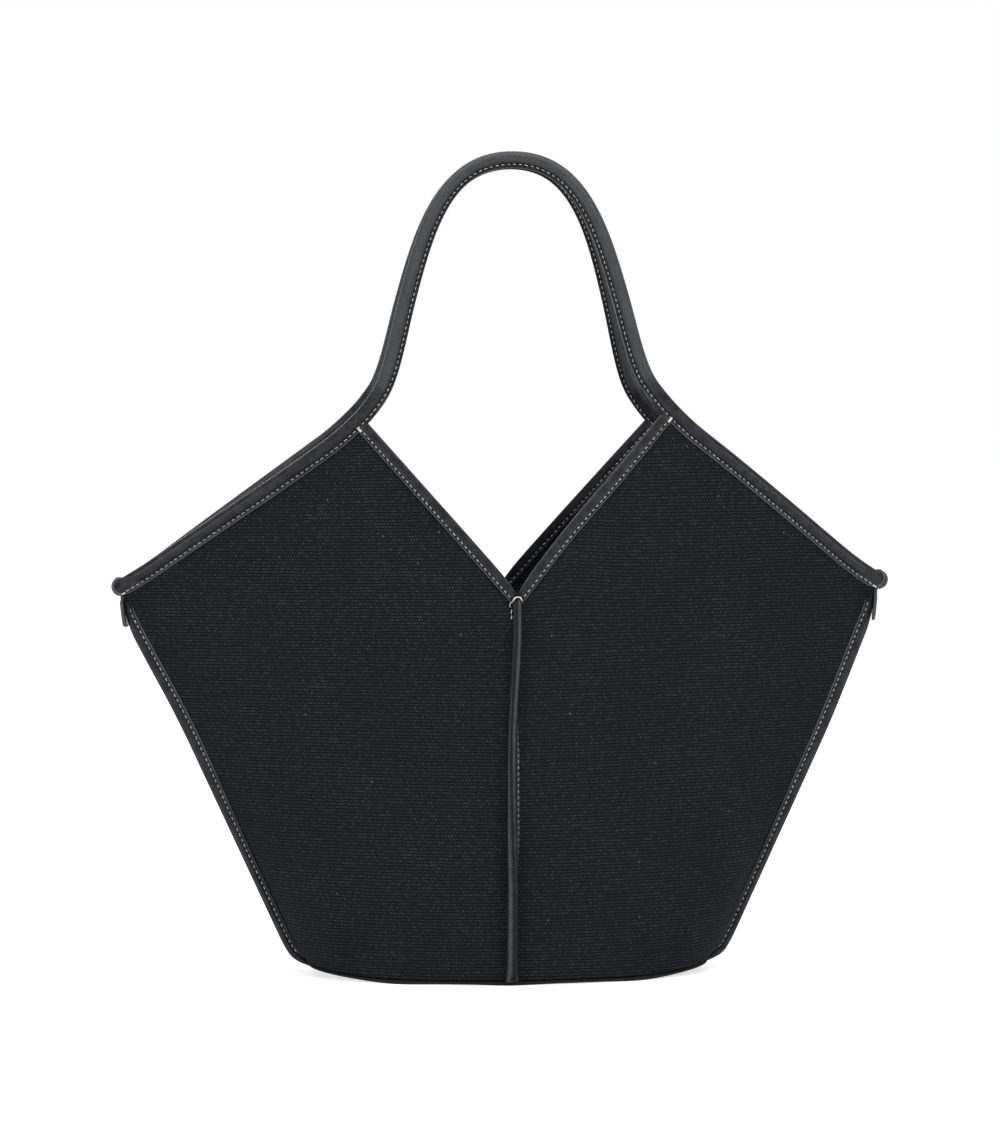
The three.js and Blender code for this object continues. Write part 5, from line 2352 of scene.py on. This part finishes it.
@dataclass(frozen=True)
class Studio:
    """White floor and surroundings, soft lamps and the camera."""

    azimuth: float = -4.333
    elevation: float = 2.051
    roll: float = -0.097
    distance: float = 2179.0
    target: tuple = (-4.5, 0.0, 236.2)
    lens: float = 119.9
    sensor: float = 36.0
    clip_end: float = 100.0
    floor_size: float = 60.0
    zenith: float = 0.22
    horizon: float = 0.13
    sheet: float = 0.9
    sheet_span: tuple = (0.15, 0.6)
    floor_colour: tuple = (0.75, 0.75, 0.75, 1.0)
    floor_glow: float = 0.7
    far_glow: float = 0.95
    glow_near: float = 0.4
    glow_far: float = 1.6
    bounce: float = 0.35
    lamps: tuple = (
        Lamp("key", (0.4, -1.5, 2.5), 1.4, 22.0),
        Lamp("overhead", (0.0, -0.3, 2.2), 2.2, 42.0),
        Lamp("left_fill", (-2.0, -1.6, 0.35), 1.2, 26.0),
        Lamp("right_fill", (2.0, -1.6, 0.35), 1.2, 21.0),
        Lamp("back_fill", (0.0, 2.3, 0.9), 1.4, 22.0),
    )

    def camera(self) -> None:
        """Place the camera at the photograph's angle."""
        data = bpy.data.cameras.new("camera")
        data.lens = self.lens
        data.sensor_width = self.sensor
        data.clip_end = self.clip_end
        camera = bpy.data.objects.new("camera", data)
        a = math.radians(self.azimuth)
        e = math.radians(self.elevation)
        back = Vector((math.sin(a) * math.cos(e), -math.cos(a) * math.cos(e), math.sin(e)))
        turn = back.to_track_quat("Z", "Y").to_matrix() @ Matrix.Rotation(math.radians(self.roll), 3, "Z")
        place = Matrix.Translation((Vector(self.target) + back * self.distance) * MM)
        camera.matrix_world = place @ turn.to_4x4()
        bpy.context.scene.collection.objects.link(camera)
        bpy.context.scene.camera = camera

    def seen(self, sketch: Sketch) -> Socket:
        """One for rays from the camera and through clear parts."""
        path = sketch.node("ShaderNodeLightPath").outputs
        return sketch.math("MAXIMUM", path["Is Camera Ray"], path["Is Transmission Ray"])

    def surroundings(self) -> None:
        """White for the camera; for the bag a dim surround with a white sheet behind it to reflect."""
        world = bpy.data.worlds.new("studio")
        bpy.context.scene.world = world
        world.use_nodes = True
        world.node_tree.nodes.clear()
        sketch = Sketch(world.node_tree)
        direction = sketch.node("ShaderNodeTexCoord").outputs["Generated"]
        height = sketch.node("ShaderNodeSeparateXYZ", {0: direction})
        level = sketch.node(
            "ShaderNodeMapRange", {"Value": height.outputs[2], "To Min": self.horizon, "To Max": self.zenith}
        )
        behind = sketch.ramp(height.outputs[1], *self.sheet_span)
        glossy = sketch.node("ShaderNodeLightPath").outputs["Is Glossy Ray"]
        sheet = sketch.math("MULTIPLY", sketch.math("MULTIPLY", behind, glossy), self.sheet)
        strength = sketch.math("ADD", level.outputs[0], sheet)
        light = sketch.node("ShaderNodeBackground", {"Color": (1, 1, 1, 1), "Strength": strength})
        shown = sketch.node("ShaderNodeBackground", {"Color": (1, 1, 1, 1), "Strength": 1.0})
        either = {0: self.seen(sketch), 1: light.outputs[0], 2: shown.outputs[0]}
        mixed = sketch.node("ShaderNodeMixShader", either)
        sketch.node("ShaderNodeOutputWorld", {"Surface": mixed.outputs[0]})

    def floor(self) -> None:
        """Pale floor that keeps the bag's shadow."""
        mesh = bpy.data.meshes.new("floor")
        half = self.floor_size / 2.0
        corners = [(-half, -half, 0.0), (half, -half, 0.0), (half, half, 0.0), (-half, half, 0.0)]
        mesh.from_pydata(corners, [], [(0, 1, 2, 3)])
        material = bpy.data.materials.new("pale_floor")
        material.use_nodes = True
        material.node_tree.nodes.clear()
        sketch = Sketch(material.node_tree)
        matt = sketch.node("ShaderNodeBsdfDiffuse", {"Color": self.floor_colour})
        place = sketch.node("ShaderNodeNewGeometry").outputs["Position"]
        away = sketch.node("ShaderNodeVectorMath", {0: place}, operation="LENGTH").outputs["Value"]
        reach = {"From Min": self.glow_near, "From Max": self.glow_far}
        glows = {"To Min": self.floor_glow, "To Max": self.far_glow}
        level = sketch.node("ShaderNodeMapRange", {"Value": away, **reach, **glows})
        share = sketch.math("MAXIMUM", self.seen(sketch), self.bounce)
        strength = sketch.math("MULTIPLY", share, level.outputs[0])
        glow = sketch.node("ShaderNodeEmission", {"Strength": strength})
        both = sketch.node("ShaderNodeAddShader", {0: matt.outputs[0], 1: glow.outputs[0]})
        sketch.node("ShaderNodeOutputMaterial", {"Surface": both.outputs[0]})
        mesh.materials.append(material)
        floor = bpy.data.objects.new("floor", mesh)
        bpy.context.scene.collection.objects.link(floor)

    def build(self) -> None:
        """Set up the camera, lamps, surroundings and floor."""
        self.camera()
        for lamp in self.lamps:
            lamp.build()
        self.surroundings()
        self.floor()
        bpy.context.scene.view_settings.view_transform = "Standard"


def main() -> None:
    """Build the bag piece by piece and set the studio round it."""
    logging.basicConfig(level=logging.INFO, format="%(name)s: %(message)s")
    finishes = Finishes()
    for assembly in (
        CanvasBody(), RolledEdge(), NotchBindings(), SeamBindings(), CornerTabs(), Base(), Tacks(),
    ):
        log.info("building %s", type(assembly).__name__)
        assembly.build(finishes)
    Studio().build()


if __name__ == "__main__":
    main()
